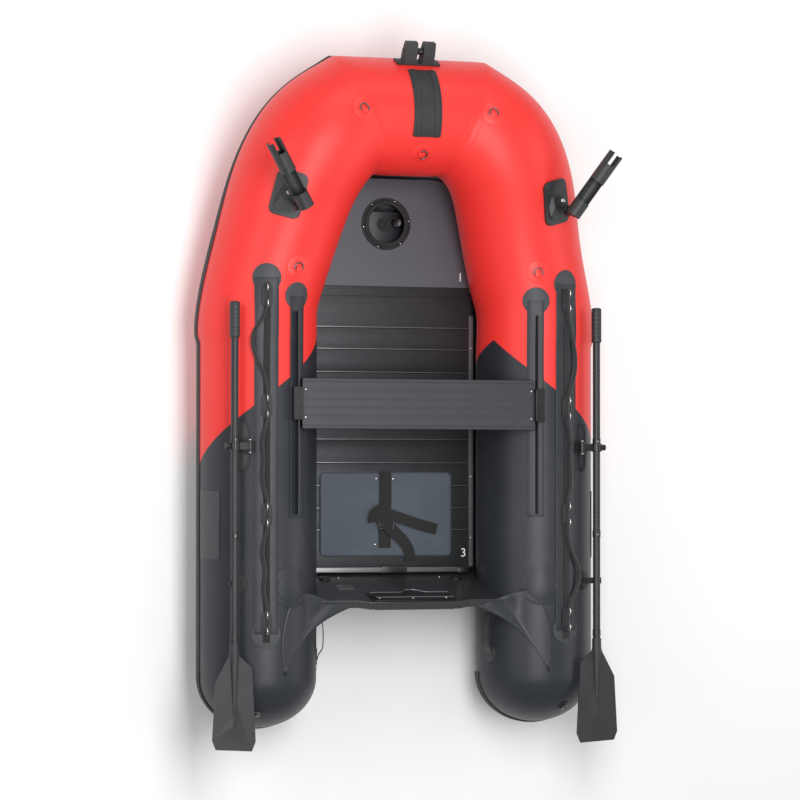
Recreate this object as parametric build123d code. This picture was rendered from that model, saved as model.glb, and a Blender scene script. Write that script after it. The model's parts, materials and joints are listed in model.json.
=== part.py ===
from build123d import *
import os
from math import asin, cos, degrees, pi, radians, sin, sqrt, tan

# Inflatable fishing boat. Millimetres, +X starboard, +Y bow, +Z up, floor under the side tubes at z = 0.

# Hull
beam = 1520                 # over the side tubes
tube_d = 430                # diameter of the air tubes
bow_axis_y = 1014           # centreline of the bow tube
bow_half = 204              # half length of the bow tube on its centreline
bow_rise = 90               # height of the bow tube above the side tubes
swell = 14                  # extra radius at the fullest part of the shoulders
shoulder_lift = 2           # extra height halfway along the shoulders
shoulder_end_y = 180        # here the shoulders meet the straight side tubes
stern_seam_y = -1026        # here the side tubes meet the stern cones
cone_length = 185
mitre_angle = 22.5          # plan angle of the seam between bow tube and shoulder
skin_thickness = 6          # hull bottom
skin_angle = 68             # where the hull bottom meets the tubes, below their inner side
keel_width = 160
keel_height = 56
keel_gap = 5
keel_low = 5                # lowest point of the hull bottom

# Rub strake
strake_angle = 102          # on the tube, from the crown outwards
strake_width = 48
strake_thickness = 9

# Floor
floor_top = 95
floor_thickness = 14
floor_half = 345
floor_aft_y = -637
floor_split_y = -166        # joint between the two aft panels
floor_joint_y = 386         # joint under the ribbed bar
floor_front_y = 806
floor_front_half = 120
joint_bar_width = 38
joint_bar_height = 4
floor_gap = 1
stringer_wall = 3
stringer_lap = 12
stringer_front_y = 300
hatch_y = 637
hatch_flange_r = 97
hatch_step_r = 86
hatch_open_r = 71
hatch_wall = 5
valve_r = 26
valve_height = 7

# Tank pad and its strap
pad_width = 525
pad_length = 314
pad_y = -442
pad_thickness = 6
pad_corner = 22
strap_width = 48
strap_thickness = 3

# Transom
transom_rake = 17
transom_foot_y = -663       # inner face at the floor's height
transom_bottom = 34
transom_top = 384
transom_well_half = 175     # raised middle where the motor clamps
transom_well_rise = 20
transom_thickness = 28
clamp_width = 320
clamp_height = 92
clamp_outer_height = 150
clamp_thickness = 4
gusset_thickness = 5
gusset_inner_x = 245
gusset_length = 290

# Seat and its tracks
seat_width = 906
seat_depth = 182
seat_thickness = 20
seat_bottom = 421
seat_y = -40
track_x = 467
track_width = 57
track_front_y = 345
track_aft_y = -449
track_patch_r = 50
rail_width = 7
rail_top = 445
rail_front_y = 290
shoe_length = 120
shoe_width = 36
shoe_bottom = 431
shoe_top = 453
shoe_clearance = 1

# Grab ropes and their rings
rope_x = 584
rope_d = 13
strip_width = 85
strip_front_y = 409
strip_aft_y = -866
strip_patch_r = 52
webbing_width = 24
ring_groups_y = (345, -51, -440, -826)
ring_spacing = 57
ring_r = 14
ring_wire = 2.5
ring_pad_length = 88
ring_pad_width = 40
patch_thickness = 3

# Bow fittings
bow_strip_width = 108
bow_strip_front = 47        # angles on the bow tube, from its crown
bow_strip_aft = -24
bow_strip_thickness = 4
roller_angle = 62
roller_base_width = 167
roller_base_length = 46
roller_base_thickness = 8
cheek_width = 45
cheek_height = 82
cheek_length = 44
cheek_gap = 24
roller_r = 16
roller_length = 20
roller_lift = 46            # axle above the tube
axle_r = 5
running_gap = 0.05

# D rings
dring_patch_r = 42
dring_r = 17
dring_wire = 2.5
bow_dring_x = 252
bow_dring_y = 1019
centre_dring_angle = -43
side_dring_x = 468
side_dring_y = 449
stern_dring_patch_r = 24
stern_dring_r = 12
stern_dring_y = -1110
stern_dring_angle = 20

# Rod holders
rod_y = 706
rod_angle = 17              # on the tube, from the crown outwards
rod_base_width = 115
rod_base_length = 160
rod_base_thickness = 9
rod_pyramid_height = 16
neck_r = 21
neck_height = 18
spigot_r = 7
spigot_depth = 12
pivot_offsets = {"starboard": (18, -43), "port": (44, -44)}     # plan offsets of the tilt pins from the swivels
pivot_lift = 41             # tilt pin above the pyramid
arm_width = 22
arm_height = 12
arm_lift = 10
pivot_r = 5
cradle_r = 28.5
cradle_wall = 3.5
socket_r = 24               # bore of the closed collar
cradle_length = 273
cradle_lift = 39            # cradle axis above the tilt pin
cradle_collar_start = 150
cradle_collar_end = 225
cradle_heading = 33.4
cradle_elevation = 13
cradle_trough_start = 60
ear_half = 8
lug_gap = 0.6
lug_width = 7

# Oars and oarlocks
oar_x = 706
oar_z = 430
loom_r = 13.5
grip_r = 18.5
grip_top_y = 323
grip_length = 130
blade_root_y = -898
blade_end_y = -1281.4
blade_width = 164
blade_thickness = 6
blade_sleeve_r = 17
oarlock_y = -194
oarlock_base_length = 175
oarlock_base_width = 50
oarlock_base_angle = 33
oarlock_base_thickness = 9
hinge_x = 648
hinge_r = 10
hinge_length = 26
hinge_pin_r = 4
ear_width = 8
collar_r = 19
collar_width = 30
knob_r = 11
knob_length = 16
clip_y = -685
clip_wall = 4
clip_gap = 2
clip_width = 22
clip_base_r = 32

# Small soft fittings on the tubes
side_patch_y = (-355, -600)
side_patch_angles = (58, 92)
handle_y = (-795, -966)
handle_angle = -72
handle_standoff = 24

# Derived values
tube_r = tube_d / 2
track_half = (beam - tube_d) / 2
tube_z = tube_r
bow_z = tube_z + bow_rise


def sheer(y):
    """Height of the tube centreline at a place along the boat."""
    run = (y - 400) / (bow_axis_y - 400)
    run = min(max(run, 0), 1)
    return tube_z + bow_rise * run * run * (3 - 2 * run)


def shoulder_point(across, along):
    """A plan point of the shoulder, as shares of its width and length."""
    x = bow_half + (track_half - bow_half) * across
    return (x, shoulder_end_y + (bow_axis_y - shoulder_end_y) * along)


shoulder_line = Spline(
    [shoulder_point(0, 1), shoulder_point(0.4, 0.88), shoulder_point(0.72, 0.62),
     shoulder_point(0.92, 0.31), shoulder_point(1, 0)],
    tangents=[(cos(radians(2 * mitre_angle)), -sin(radians(2 * mitre_angle))), (0, -1)],
)
shoulder_steps = (0.26, 0.4, 0.54, 0.68, 0.84, 1)


def shoulder_radius(t):
    return tube_r + swell * sin(pi * sqrt(t)) ** 2


def shoulder_centre(t):
    point = shoulder_line @ t
    height = sheer(point.Y) + shoulder_radius(t) - tube_r + shoulder_lift * sin(pi * t)
    return Vector(point.X, point.Y, height)


def shoulder_frame(t):
    """Section plane of the shoulder: local X outboard, local Y up."""
    heading = shoulder_line % t
    return Plane(
        origin=shoulder_centre(t),
        x_dir=(-heading.Y, heading.X, 0),
        z_dir=(heading.X, heading.Y, 0),
    )


mitre_frame = Plane(
    origin=(bow_half, bow_axis_y, bow_z),
    x_dir=(sin(radians(mitre_angle)), cos(radians(mitre_angle)), 0),
    z_dir=(cos(radians(mitre_angle)), -sin(radians(mitre_angle)), 0),
)
mitre_stretch = 1 / cos(radians(mitre_angle))


def side_frame(y):
    """Section plane of the straight side tube: local X outboard, local Y up."""
    return Plane(origin=(track_half, y, tube_z), x_dir=(1, 0, 0), z_dir=(0, -1, 0))


def mirrored(shape):
    return mirror(shape, about=Plane.YZ)


def both(shape):
    """Two like pieces, one on each side."""
    return Compound(children=list(shape.solids()) + list(mirrored(shape).solids()))


def side_tube(extra=0):
    return extrude(side_frame(shoulder_end_y) * Circle(tube_r + extra), shoulder_end_y - stern_seam_y)


def shoulder_tube(extra=0):
    start = mitre_frame * Ellipse((tube_r + extra) * mitre_stretch, tube_r + extra)
    rest = [shoulder_frame(t) * Circle(shoulder_radius(t) + extra) for t in shoulder_steps]
    return loft([start] + rest)


bow_section = Plane(origin=(0, bow_axis_y, bow_z), x_dir=(0, 1, 0), z_dir=(1, 0, 0))
port_mitre_frame = Plane(
    origin=(-bow_half, bow_axis_y, bow_z),
    x_dir=(-mitre_frame.x_dir.X, mitre_frame.x_dir.Y, 0),
    z_dir=(-mitre_frame.z_dir.X, mitre_frame.z_dir.Y, 0),
)


def bow_bar(outline):
    """A bar across the bow with mitred ends, from its section in the boat's middle plane."""
    bar = extrude(bow_section * outline, bow_half + tube_d, both=True)
    bar = split(bar, bisect_by=mitre_frame, keep=Keep.BOTTOM)
    return split(bar, bisect_by=port_mitre_frame, keep=Keep.BOTTOM)


def bow_tube(extra=0):
    return bow_bar(Circle(tube_r + extra))


def stern_cone(extra=0):
    radius = tube_r + extra
    length = cone_length + extra
    rim = EllipticalCenterArc((0, 0), radius, length, start_angle=270, arc_size=90)
    outline = make_face([rim, Line((radius, 0), (0, 0)), Line((0, 0), (0, -length))])
    return Pos(track_half, stern_seam_y, tube_z) * revolve(outline, Axis.Y)


half_hulls = {}


def half_hull(extra=0):
    """Starboard side, shoulder and bow tubes, grown by an extra radius."""
    if extra not in half_hulls:
        half_hulls[extra] = side_tube(extra) + shoulder_tube(extra) + bow_tube(extra)
    return half_hulls[extra]


def patch(tool, thickness):
    """A sheet of even thickness on the tubes, as large as the tool."""
    return (tool & half_hull(thickness)) - half_hull()


def standing(outline):
    """An upright tool through the upper half of the tubes."""
    return extrude(Pos(0, 0, tube_z) * outline, 2 * tube_d)


def surface_frame(x, y):
    """Plane on the tubes above a plan point: local X forward, local Z the outward normal."""
    low = 0
    high = 1
    centre = Vector(track_half, y, tube_z)
    heading = Vector(0, -1, 0)
    radius = tube_r
    if y > shoulder_end_y:
        for _ in range(40):
            t = (low + high) / 2
            point = shoulder_line @ t
            heading = shoulder_line % t
            if (x - point.X) * heading.X + (y - point.Y) * heading.Y > 0:
                low = t
            else:
                high = t
        radius = shoulder_radius(t)
        centre = shoulder_centre(t)
    outboard = Vector(-heading.Y, heading.X, 0)
    across = (x - centre.X) * outboard.X + (y - centre.Y) * outboard.Y
    normal = outboard * (across / radius) + Vector(0, 0, sqrt(1 - (across / radius) ** 2))
    return Plane(origin=centre + normal * radius, x_dir=heading * -1, z_dir=normal)


def bow_frame(x, angle):
    """Plane on the bow tube, at an angle forward of its crown: local X starboard."""
    normal = Vector(0, sin(radians(angle)), cos(radians(angle)))
    centre = Vector(x, bow_axis_y, bow_z)
    return Plane(origin=centre + normal * tube_r, x_dir=(1, 0, 0), z_dir=normal)


def save(name, shape):
    export_step(shape, "parts/" + name + ".step")


def save_sides(name, shape):
    save(name + "_starboard", shape)
    save(name + "_port", mirrored(shape))


os.makedirs("parts", exist_ok=True)

# Air tubes
save_sides("side_tube", side_tube())
save_sides("shoulder_tube", shoulder_tube())
save_sides("stern_cone", stern_cone())
save("bow_tube", bow_tube())


# Rub strake
def strake_outline(radius, stretch=1):
    side = sin(radians(strake_angle))
    rise = cos(radians(strake_angle))
    corners = []
    for lift, along in ((0, -1), (1, -1), (1, 1), (0, 1)):
        reach = radius + 0.3 + lift * strake_thickness
        shift = along * strake_width / 2
        corners.append(((reach * side + shift * rise) * stretch, reach * rise - shift * side))
    return make_face(Polyline(*corners, close=True))


side_strake = extrude(side_frame(shoulder_end_y) * strake_outline(tube_r), shoulder_end_y - stern_seam_y)
shoulder_strake = loft(
    [mitre_frame * strake_outline(tube_r, mitre_stretch)]
    + [shoulder_frame(t) * strake_outline(shoulder_radius(t)) for t in shoulder_steps]
)
strake_low = tube_z + tube_r * cos(radians(strake_angle)) - strake_width / 2
strake_slab = Pos(track_half, stern_seam_y - cone_length, strake_low + strake_width / 2) * Box(
    2 * tube_d, 2 * cone_length, strake_width)
cone_strake = (stern_cone(strake_thickness) - stern_cone(0.3)) & strake_slab
save_sides("rub_strake", side_strake + (shoulder_strake - shoulder_tube()))
save_sides("stern_strake", cone_strake)
save("rub_strake_bow", bow_bar(strake_outline(tube_r)))


# Hull bottom: a shallow V between the tubes, over an air keel
keel_front_y = hatch_y + valve_r + 20
skin_aft_y = transom_foot_y - 12
bow_edge_y = bow_axis_y - tube_r * cos(radians(skin_angle))
skin_drop = tube_r * sin(radians(skin_angle))


def skin_edge(y):
    """Half width and height of the bottom where it meets the shoulder."""
    low = 0
    high = 1
    for _ in range(40):
        t = (low + high) / 2
        frame = shoulder_frame(t)
        edge = frame.origin - frame.x_dir * (shoulder_radius(t) * cos(radians(skin_angle)))
        if edge.Y > y:
            low = t
        else:
            high = t
    return edge.X, frame.origin.Z - shoulder_radius(t) * sin(radians(skin_angle))


def skin_section(half, y, edge, keel):
    top = [(-half, edge - 1), (0, keel + skin_thickness), (half, edge - 1)]
    low = [(half, edge - 1 - skin_thickness), (0, keel), (-half, edge - 1 - skin_thickness)]
    plane = Plane(origin=(0, y, 0), x_dir=(1, 0, 0), z_dir=(0, -1, 0))
    return plane * make_face(Polyline(*(top + low), close=True))


aft_half = track_half - tube_r * cos(radians(skin_angle))
sections = [skin_section(aft_half, y, tube_z - skin_drop, keel_low) for y in (skin_aft_y, shoulder_end_y)]
bow_keel = bow_z - skin_drop - 18
for share in (0.25, 0.5, 0.75, 1):
    y = shoulder_end_y + share * (keel_front_y + 6 - shoulder_end_y)
    half, height = skin_edge(y)
    sections.append(skin_section(half - 3, y, height, keel_low))
middle_y = (keel_front_y + bow_edge_y) / 2
half, height = skin_edge(middle_y)
sections.append(skin_section(half - 8, middle_y, height, (keel_low + bow_keel) / 2 - 6))
sections.append(skin_section(bow_half * 0.66, bow_edge_y - 2, bow_z - skin_drop, bow_keel))
save("hull_bottom", loft(sections, ruled=True))

keel_outline = Ellipse(keel_width / 2, keel_height / 2)
keel_z = keel_low + skin_thickness + keel_gap + keel_height / 2
keel_plane = Plane(origin=(0, keel_front_y, keel_z), x_dir=(1, 0, 0), z_dir=(0, -1, 0))
save("keel_tube", extrude(keel_plane * keel_outline, keel_front_y - floor_aft_y))

# Floor: three panels, a ribbed joint bar and two side stringers
floor_low = floor_top - floor_thickness


def floor_reach(t):
    """Plan point where a tube leaves room for the floor."""
    frame = shoulder_frame(t)
    radius = shoulder_radius(t)
    drop = frame.origin.Z - floor_top
    chord = sqrt(radius ** 2 - drop ** 2) + 8 * floor_gap
    point = frame.origin - frame.x_dir * chord
    return (point.X, point.Y)


def panel(y0, y1):
    plate = Box(2 * floor_half, y1 - y0 - floor_gap, floor_thickness)
    return Pos(0, (y0 + y1) / 2, floor_top - floor_thickness / 2) * plate


save("floor_panel_aft", panel(floor_aft_y, floor_split_y))
save("floor_panel_middle", panel(floor_split_y, floor_joint_y))
bow_side = [floor_reach(t) for t in (0.62, 0.5, 0.38)]
bow_side = [(floor_half, floor_joint_y)] + [p for p in bow_side if p[1] > floor_joint_y + 60]
bow_side.append((floor_front_half, floor_front_y))
edge_line = Spline(bow_side)
centre_line = Polyline(bow_side[-1], (0, floor_front_y), (0, floor_joint_y), bow_side[0])
bow_panel = extrude(Pos(0, 0, floor_low) * make_face([edge_line, centre_line]), floor_thickness)
bow_panel = bow_panel + mirrored(bow_panel)
hatch_hole = Pos(0, hatch_y, floor_top) * Cylinder(hatch_open_r + hatch_wall + floor_gap / 2, 4 * floor_thickness)
save("floor_panel_bow", bow_panel - hatch_hole)
bar = Box(2 * floor_half - 2 * stringer_lap - 4, joint_bar_width, joint_bar_height)
save("floor_joint_bar", Pos(0, floor_joint_y, floor_top + joint_bar_height / 2) * bar)

stringer_height = floor_thickness + 2 * stringer_wall
stringer_length = stringer_front_y - floor_aft_y
stringer_block = Box(stringer_lap + stringer_wall + 1, stringer_length, stringer_height)
stringer_x = floor_half + (stringer_wall + 1 - stringer_lap) / 2
stringer_mid_y = (stringer_front_y + floor_aft_y) / 2
stringer = Pos(stringer_x, stringer_mid_y, floor_top - floor_thickness / 2) * stringer_block
slot = Pos(stringer_x - stringer_wall - 0.5, stringer_mid_y, floor_top - floor_thickness / 2) * Box(
    stringer_lap + stringer_wall + 2, stringer_length + 2, floor_thickness)
save("floor_stringers", both(stringer - slot))

# Hatch in the bow panel, and the keel's air valve below it
ring = Pos(0, 0, 2) * Cylinder(hatch_flange_r, 4) + Pos(0, 0, 6) * Cylinder(hatch_step_r, 4)
collar_depth = floor_thickness + 8
ring += Pos(0, 0, 8 - collar_depth / 2) * Cylinder(hatch_open_r + hatch_wall, collar_depth)
ring -= Cylinder(hatch_open_r, 4 * floor_thickness)
save("hatch_ring", Pos(0, hatch_y, floor_top) * ring)
valve = Pos(0, 0, valve_height / 2) * Cylinder(valve_r, valve_height)
valve += Pos(0, 0, valve_height + 3) * Cylinder(valve_r * 0.55, 6)
valve -= Pos(0, 0, valve_height + 4) * Cylinder(valve_r * 0.3, 8)
keel_top = keel_z + keel_height / 2
valve = Pos(0, hatch_y, keel_top - 4) * valve
save("keel_valve", valve - extrude(keel_plane * keel_outline, keel_front_y))

# Tank pad and its strap
pad = RectangleRounded(pad_width, pad_length, pad_corner)
save("tank_pad", extrude(Pos(0, pad_y, floor_top) * pad, pad_thickness))
strap = Pos(0, 0, strap_thickness / 2) * Box(strap_width, pad_length * 0.82, strap_thickness)
strap += Pos(0, -4, strap_thickness + 4) * Box(strap_width + 14, 44, 8)
tail = Pos(58, 0, strap_thickness * 1.5) * Box(150, strap_width, strap_thickness)
strap += Rot(0, 0, -12) * tail + Rot(0, 0, -58) * tail
save("tank_strap", Pos(0, pad_y, floor_top + pad_thickness) * strap)

# Transom, leaning aft
rake = radians(transom_rake)
board_frame = Plane(
    origin=(0, transom_foot_y, floor_top),
    x_dir=(1, 0, 0),
    z_dir=(0, -cos(rake), -sin(rake)),
)
board_low = (transom_bottom - floor_top) / cos(rake)
board_high = (transom_top - floor_top) / cos(rake)
board_half = track_half - 0.5 * tube_r
well_high = board_high + transom_well_rise
ramp = transom_well_half + 2 * transom_well_rise
board_outline = make_face(Polyline(
    (-board_half, board_low), (board_half, board_low), (board_half, board_high),
    (ramp, board_high), (transom_well_half, well_high), (-transom_well_half, well_high),
    (-ramp, board_high), (-board_half, board_high), close=True))
board = extrude(board_frame * board_outline, transom_thickness)
board = board - side_tube(0.3) - mirrored(side_tube(0.3))
save("transom_board", board)

inner_plate = make_face(Polyline(
    (-clamp_width / 2, well_high - 6 - clamp_height), (clamp_width / 2, well_high - 6 - clamp_height),
    (clamp_width / 2, well_high - 6), (-clamp_width / 2, well_high - 6), close=True))
inner_plate += Pos(0, well_high - 6 - clamp_height) * Circle(clamp_height / 3)
inner_plate = extrude(board_frame * inner_plate, -clamp_thickness)
outer_plate = RectangleRounded(clamp_width, clamp_outer_height, 12)
outer_plate = Pos(0, well_high - 6 - clamp_outer_height / 2) * outer_plate
outer_plate = extrude(board_frame.offset(transom_thickness) * outer_plate, clamp_thickness)
save("transom_plates", Compound(children=[inner_plate.solid(), outer_plate.solid()]))

# Fabric webs from the transom's upper corners to the tubes
web_root = board_frame.offset(transom_thickness + 1)
web_inner = web_root.from_local_coords(Vector(gusset_inner_x, board_high - 8, 0))
web_corner = web_root.from_local_coords(Vector(track_half - 0.35 * tube_r, board_high - 8, 0))
web_end = Vector(track_half - 0.2 * tube_r, web_inner.Y - gusset_length * 0.86, tube_z + tube_r + 4)
web = make_face(Polyline(web_inner, web_corner, web_end, close=True))
web = extrude(web, gusset_thickness, dir=(0, 0, -1))
web = web - half_hull(0.3)
save("transom_webs", both(web))

# Seat tracks on the tubes
track_patch = Pos(track_x, (track_front_y + track_aft_y) / 2) * Rectangle(
    track_width, track_front_y - track_aft_y)
track_patch += Pos(track_x, track_front_y) * Circle(track_patch_r)
track = patch(standing(track_patch), patch_thickness)
rail_bottom = tube_z + sqrt(tube_r ** 2 - (track_half - track_x) ** 2) - 12
rail = Pos(track_x, (rail_front_y + track_aft_y) / 2 + 4, (rail_top + rail_bottom) / 2) * Box(
    rail_width, rail_front_y - track_aft_y - 8, rail_top - rail_bottom)
save("seat_tracks", both(track + (rail - half_hull())))

# Seat bench and the shoes that hold it on the rails
bench = Box(seat_width, seat_depth, seat_thickness)
bench = fillet(bench.edges().filter_by(Axis.X), seat_thickness * 0.3)
save("seat_bench", Pos(0, seat_y, seat_bottom + seat_thickness / 2) * bench)
shoe_x = seat_width / 2 + shoe_width / 2
shoe = Pos(shoe_x, seat_y, (shoe_bottom + shoe_top) / 2) * Box(shoe_width, shoe_length, shoe_top - shoe_bottom)
shoe_slot = Box(rail_width + 2 * shoe_clearance, shoe_length + 2, 2 * (rail_top + shoe_clearance - shoe_bottom))
shoe -= Pos(track_x, seat_y, shoe_bottom) * shoe_slot
save("seat_shoes", both(shoe))

# Rope strips along the tubes, with webbing and ring pads
strip_outline = Pos(rope_x, (strip_front_y + strip_aft_y) / 2) * Rectangle(
    strip_width, strip_front_y - strip_aft_y)
strip_outline += Pos(rope_x, strip_front_y) * Circle(strip_patch_r)
strip_outline += Pos(rope_x, strip_aft_y) * Circle(strip_patch_r)
strip = patch(standing(strip_outline), patch_thickness)
save("rope_strips", both(strip))

ring_pads = []
ring_lift = patch_thickness + 4
for y in ring_groups_y:
    pad_tool = Pos(rope_x, y) * RectangleRounded(ring_pad_width, ring_pad_length, 12)
    pad_solid = (standing(pad_tool) & half_hull(ring_lift)) - half_hull(patch_thickness)
    for end in (-1, 1):
        frame = surface_frame(rope_x, y + end * ring_spacing / 2)
        hoop = Pos(0, 0, ring_lift + ring_r - 2 * ring_wire) * Rot(0, 90, 0) * Torus(ring_r, ring_wire)
        pad_solid += frame * hoop
    ring_pads.append(pad_solid - half_hull(patch_thickness))
save("rope_rings", both(Compound(children=[s for p in ring_pads for s in p.solids()])))


# Grab ropes: routes over the starboard and port tubes, chosen by hand
rope_routes = {
    "starboard": [
        (584, 393, 446), (584, 297, 445), (604, 226, 436), (624, 140, 432), (616, 60, 435),
        (584, -3, 443), (584, -99, 443), (601, -170, 437), (596, -246, 438), (603, -322, 437),
        (584, -392, 443), (584, -488, 443), (592, -561, 439), (640, -634, 426), (634, -710, 429),
        (584, -778, 443), (584, -866, 442),
    ],
    "port": [
        (-584, 393, 446), (-584, 284, 445), (-640, 216, 426), (-636, 140, 429), (-597, 70, 438),
        (-584, -3, 443), (-584, -99, 443), (-606, -170, 436), (-599, -246, 438), (-605, -322, 437),
        (-584, -392, 443), (-584, -488, 443), (-607, -564, 436), (-590, -638, 440), (-601, -708, 438),
        (-584, -778, 443), (-584, -866, 442),
    ],
}


def rope_radii(points):
    radii = []
    for before, corner, after in zip(points, points[1:], points[2:]):
        run_in = Vector(*corner) - Vector(*before)
        run_out = Vector(*after) - Vector(*corner)
        turn = radians(run_in.get_angle(run_out))
        radii.append(0.45 * min(run_in.length, run_out.length) / tan(turn / 2))
    return radii


for side, points in rope_routes.items():
    radii = rope_radii(points)
    path = FilletPolyline(*points, radius=radii)
    start = Plane(origin=path @ 0, z_dir=path % 0)
    rope = sweep(start * Circle(rope_d / 2), path=path)
    print(side, "grab rope length", round(path.length), "least radius", round(min(radii)))
    save("grab_rope_" + side, rope)


# D rings on round patches
def dring(frame, ring_size, lift):
    """Webbing bridge and steel ring lying on a patch."""
    hoop = split(Torus(ring_size, dring_wire), bisect_by=Plane.XZ, keep=Keep.TOP)
    hoop += Rot(0, 90, 0) * Cylinder(dring_wire, 2 * ring_size)
    bridge = Pos(0, -ring_size * 0.1, 0) * Box(ring_size * 1.4, ring_size * 0.8, 2 * dring_wire + 3)
    return frame * Pos(0, 0, lift) * (hoop + bridge)


def dring_patch(frame, tool_r, ring_size, hull, grown):
    tool = extrude(frame * Circle(tool_r), 60, both=True)
    piece = (tool & grown) - hull
    piece += dring(frame, ring_size, patch_thickness + dring_wire) - hull
    return piece


bow_dring_frame = surface_frame(bow_dring_x, bow_dring_y)
bow_dring = dring_patch(bow_dring_frame, dring_patch_r, dring_r, half_hull(), half_hull(patch_thickness))
centre_dring = dring_patch(bow_frame(0, centre_dring_angle), dring_patch_r, dring_r,
                           bow_tube(), bow_tube(patch_thickness))
pair = [s for s in bow_dring.solids()] + [s for s in mirrored(bow_dring).solids()]
save("bow_drings", Compound(children=pair + [s for s in centre_dring.solids()]))
side_frame_d = surface_frame(side_dring_x, side_dring_y)
side_dring = dring_patch(side_frame_d, dring_patch_r, dring_r, half_hull(), half_hull(patch_thickness))
save("side_drings", both(side_dring))
cone_place = (stern_dring_y - stern_seam_y) / cone_length
cone_ring_r = tube_r * sqrt(1 - cone_place ** 2)
stern_normal = Vector(sin(radians(stern_dring_angle)), 0, cos(radians(stern_dring_angle)))
stern_origin = Vector(track_half, stern_dring_y, tube_z) + stern_normal * cone_ring_r
cone_tilt = stern_normal * (1 / tube_r ** 2 * cone_ring_r) + Vector(0, cone_place / cone_length, 0)
stern_ring_frame = Plane(origin=stern_origin, x_dir=(0, 1, 0), z_dir=cone_tilt.normalized())
stern_dring = dring_patch(stern_ring_frame, stern_dring_patch_r, stern_dring_r,
                          stern_cone(), stern_cone(patch_thickness))
save("stern_drings", both(stern_dring))

# Bow strip over the bow tube
def sector(frame, angle_low, angle_high, length, inner, outer):
    """A curved sheet round a tube, between two angles from its crown, along the frame's normal."""
    reach = 2 * outer
    middle = (angle_low + angle_high) / 2
    corners = [(0, 0)]
    for angle in (angle_low, middle, angle_high):
        corners.append((reach * sin(radians(angle)), reach * cos(radians(angle))))
    wedge = extrude(frame * make_face(Polyline(*corners, close=True)), length, dir=frame.z_dir)
    shell = extrude(frame * Circle(outer), length, dir=frame.z_dir)
    shell -= extrude(frame * Circle(inner), length, dir=frame.z_dir)
    return shell & wedge


def bow_sector(angle_low, angle_high, width, inner, outer):
    return sector(bow_section.offset(-width / 2), angle_low, angle_high, width, inner, outer)


strip_outer = tube_r + bow_strip_thickness
bow_strip = bow_sector(bow_strip_aft, bow_strip_front, bow_strip_width, tube_r, strip_outer)
rib_width = bow_strip_width / 6
for shift in (-1, 1):
    rib = bow_sector(bow_strip_aft, bow_strip_front, rib_width, strip_outer - 1, strip_outer + 3)
    bow_strip += Pos(shift * (bow_strip_width - rib_width - 18) / 2, 0, 0) * rib
save("bow_strip", bow_strip)

# Bow roller and its bracket
roller_frame = bow_frame(0, roller_angle)
base_turn = degrees(roller_base_length / 2 / tube_r)
bracket = bow_sector(roller_angle - base_turn, roller_angle + base_turn, roller_base_width,
                     tube_r, tube_r + roller_base_thickness)
cheek = make_face(Polyline(
    (-cheek_length / 2, 2), (cheek_length / 2, 2), (cheek_length / 2, cheek_height * 0.5),
    (cheek_length / 4, cheek_height), (-cheek_length / 4, cheek_height),
    (-cheek_length / 2, cheek_height * 0.5), close=True))
cheek_plane = Plane(origin=(0, 0, 0), x_dir=(0, 1, 0), z_dir=(1, 0, 0))
cheek = extrude(cheek_plane * cheek, cheek_width)
axle_hole = Pos(0, 0, roller_lift) * Rot(0, 90, 0) * Cylinder(axle_r + running_gap, 4 * cheek_width)
cheeks = Pos(cheek_gap / 2, 0, 0) * cheek + Pos(-cheek_gap / 2 - cheek_width, 0, 0) * cheek
bracket += (roller_frame * (cheeks - axle_hole)) - bow_tube()
save("bow_roller_bracket", bracket)
roller = Cylinder(roller_r, roller_length) - Torus(roller_r + 6, 10)
roller += Cylinder(axle_r, cheek_gap + cheek_width * 1.4)
save("bow_roller", roller_frame * Pos(0, 0, roller_lift) * Rot(0, 90, 0) * roller)

# Rod holders: base on the tube, swivelling neck, tilting cradle
rod_x = surface_frame(track_half - 83, rod_y - 15).origin.X + tube_r * sin(radians(rod_angle)) * 0.95
rod_frame = surface_frame(rod_x, rod_y)
base_tool = extrude(rod_frame * RectangleRounded(rod_base_length, rod_base_width, 26), 60, both=True)
rod_base = (base_tool & half_hull(rod_base_thickness)) - half_hull()
pyramid = loft([
    Pos(0, 0, rod_base_thickness - 8) * RectangleRounded(rod_base_length * 0.8, rod_base_width * 0.76, 20),
    Pos(0, 0, rod_pyramid_height) * RectangleRounded(neck_r * 2.6, neck_r * 2.4, 16),
])
rod_base += (rod_frame * pyramid) - half_hull()
spigot_bore = Pos(0, 0, rod_pyramid_height - spigot_depth / 2 + 1) * Cylinder(spigot_r + running_gap, spigot_depth + 2)
rod_base -= rod_frame * spigot_bore
save("rod_holder_bases", both(rod_base))


def rod_neck(top, turn, pivot, normal, right):
    """Swivelling foot with an arm and an ear for the tilt pin."""
    neck = turn * (Pos(0, 0, neck_height / 2) * Cylinder(neck_r, neck_height))
    neck += turn * (Pos(0, 0, 1 - spigot_depth / 2) * Cylinder(spigot_r, spigot_depth - 1.6))
    reach = pivot - top - normal * pivot_lift
    arm_plane = Plane(origin=top + reach * 0.5 + normal * arm_lift, x_dir=reach, z_dir=normal)
    neck += extrude(arm_plane * SlotCenterToCenter(reach.length, arm_width), arm_height)
    upright = normal - right * normal.dot(right)
    ear_plane = Plane(origin=pivot, x_dir=upright.cross(right), z_dir=right)
    ear_drop = pivot_lift - arm_lift - arm_height / 3
    ear = Circle(2 * pivot_r) + Pos(0, -ear_drop / 2) * Rectangle(4 * pivot_r, ear_drop)
    neck += extrude(ear_plane * ear, ear_half, both=True)
    return neck - extrude(ear_plane * Circle(pivot_r + running_gap), 2 * ear_half, both=True)


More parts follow.
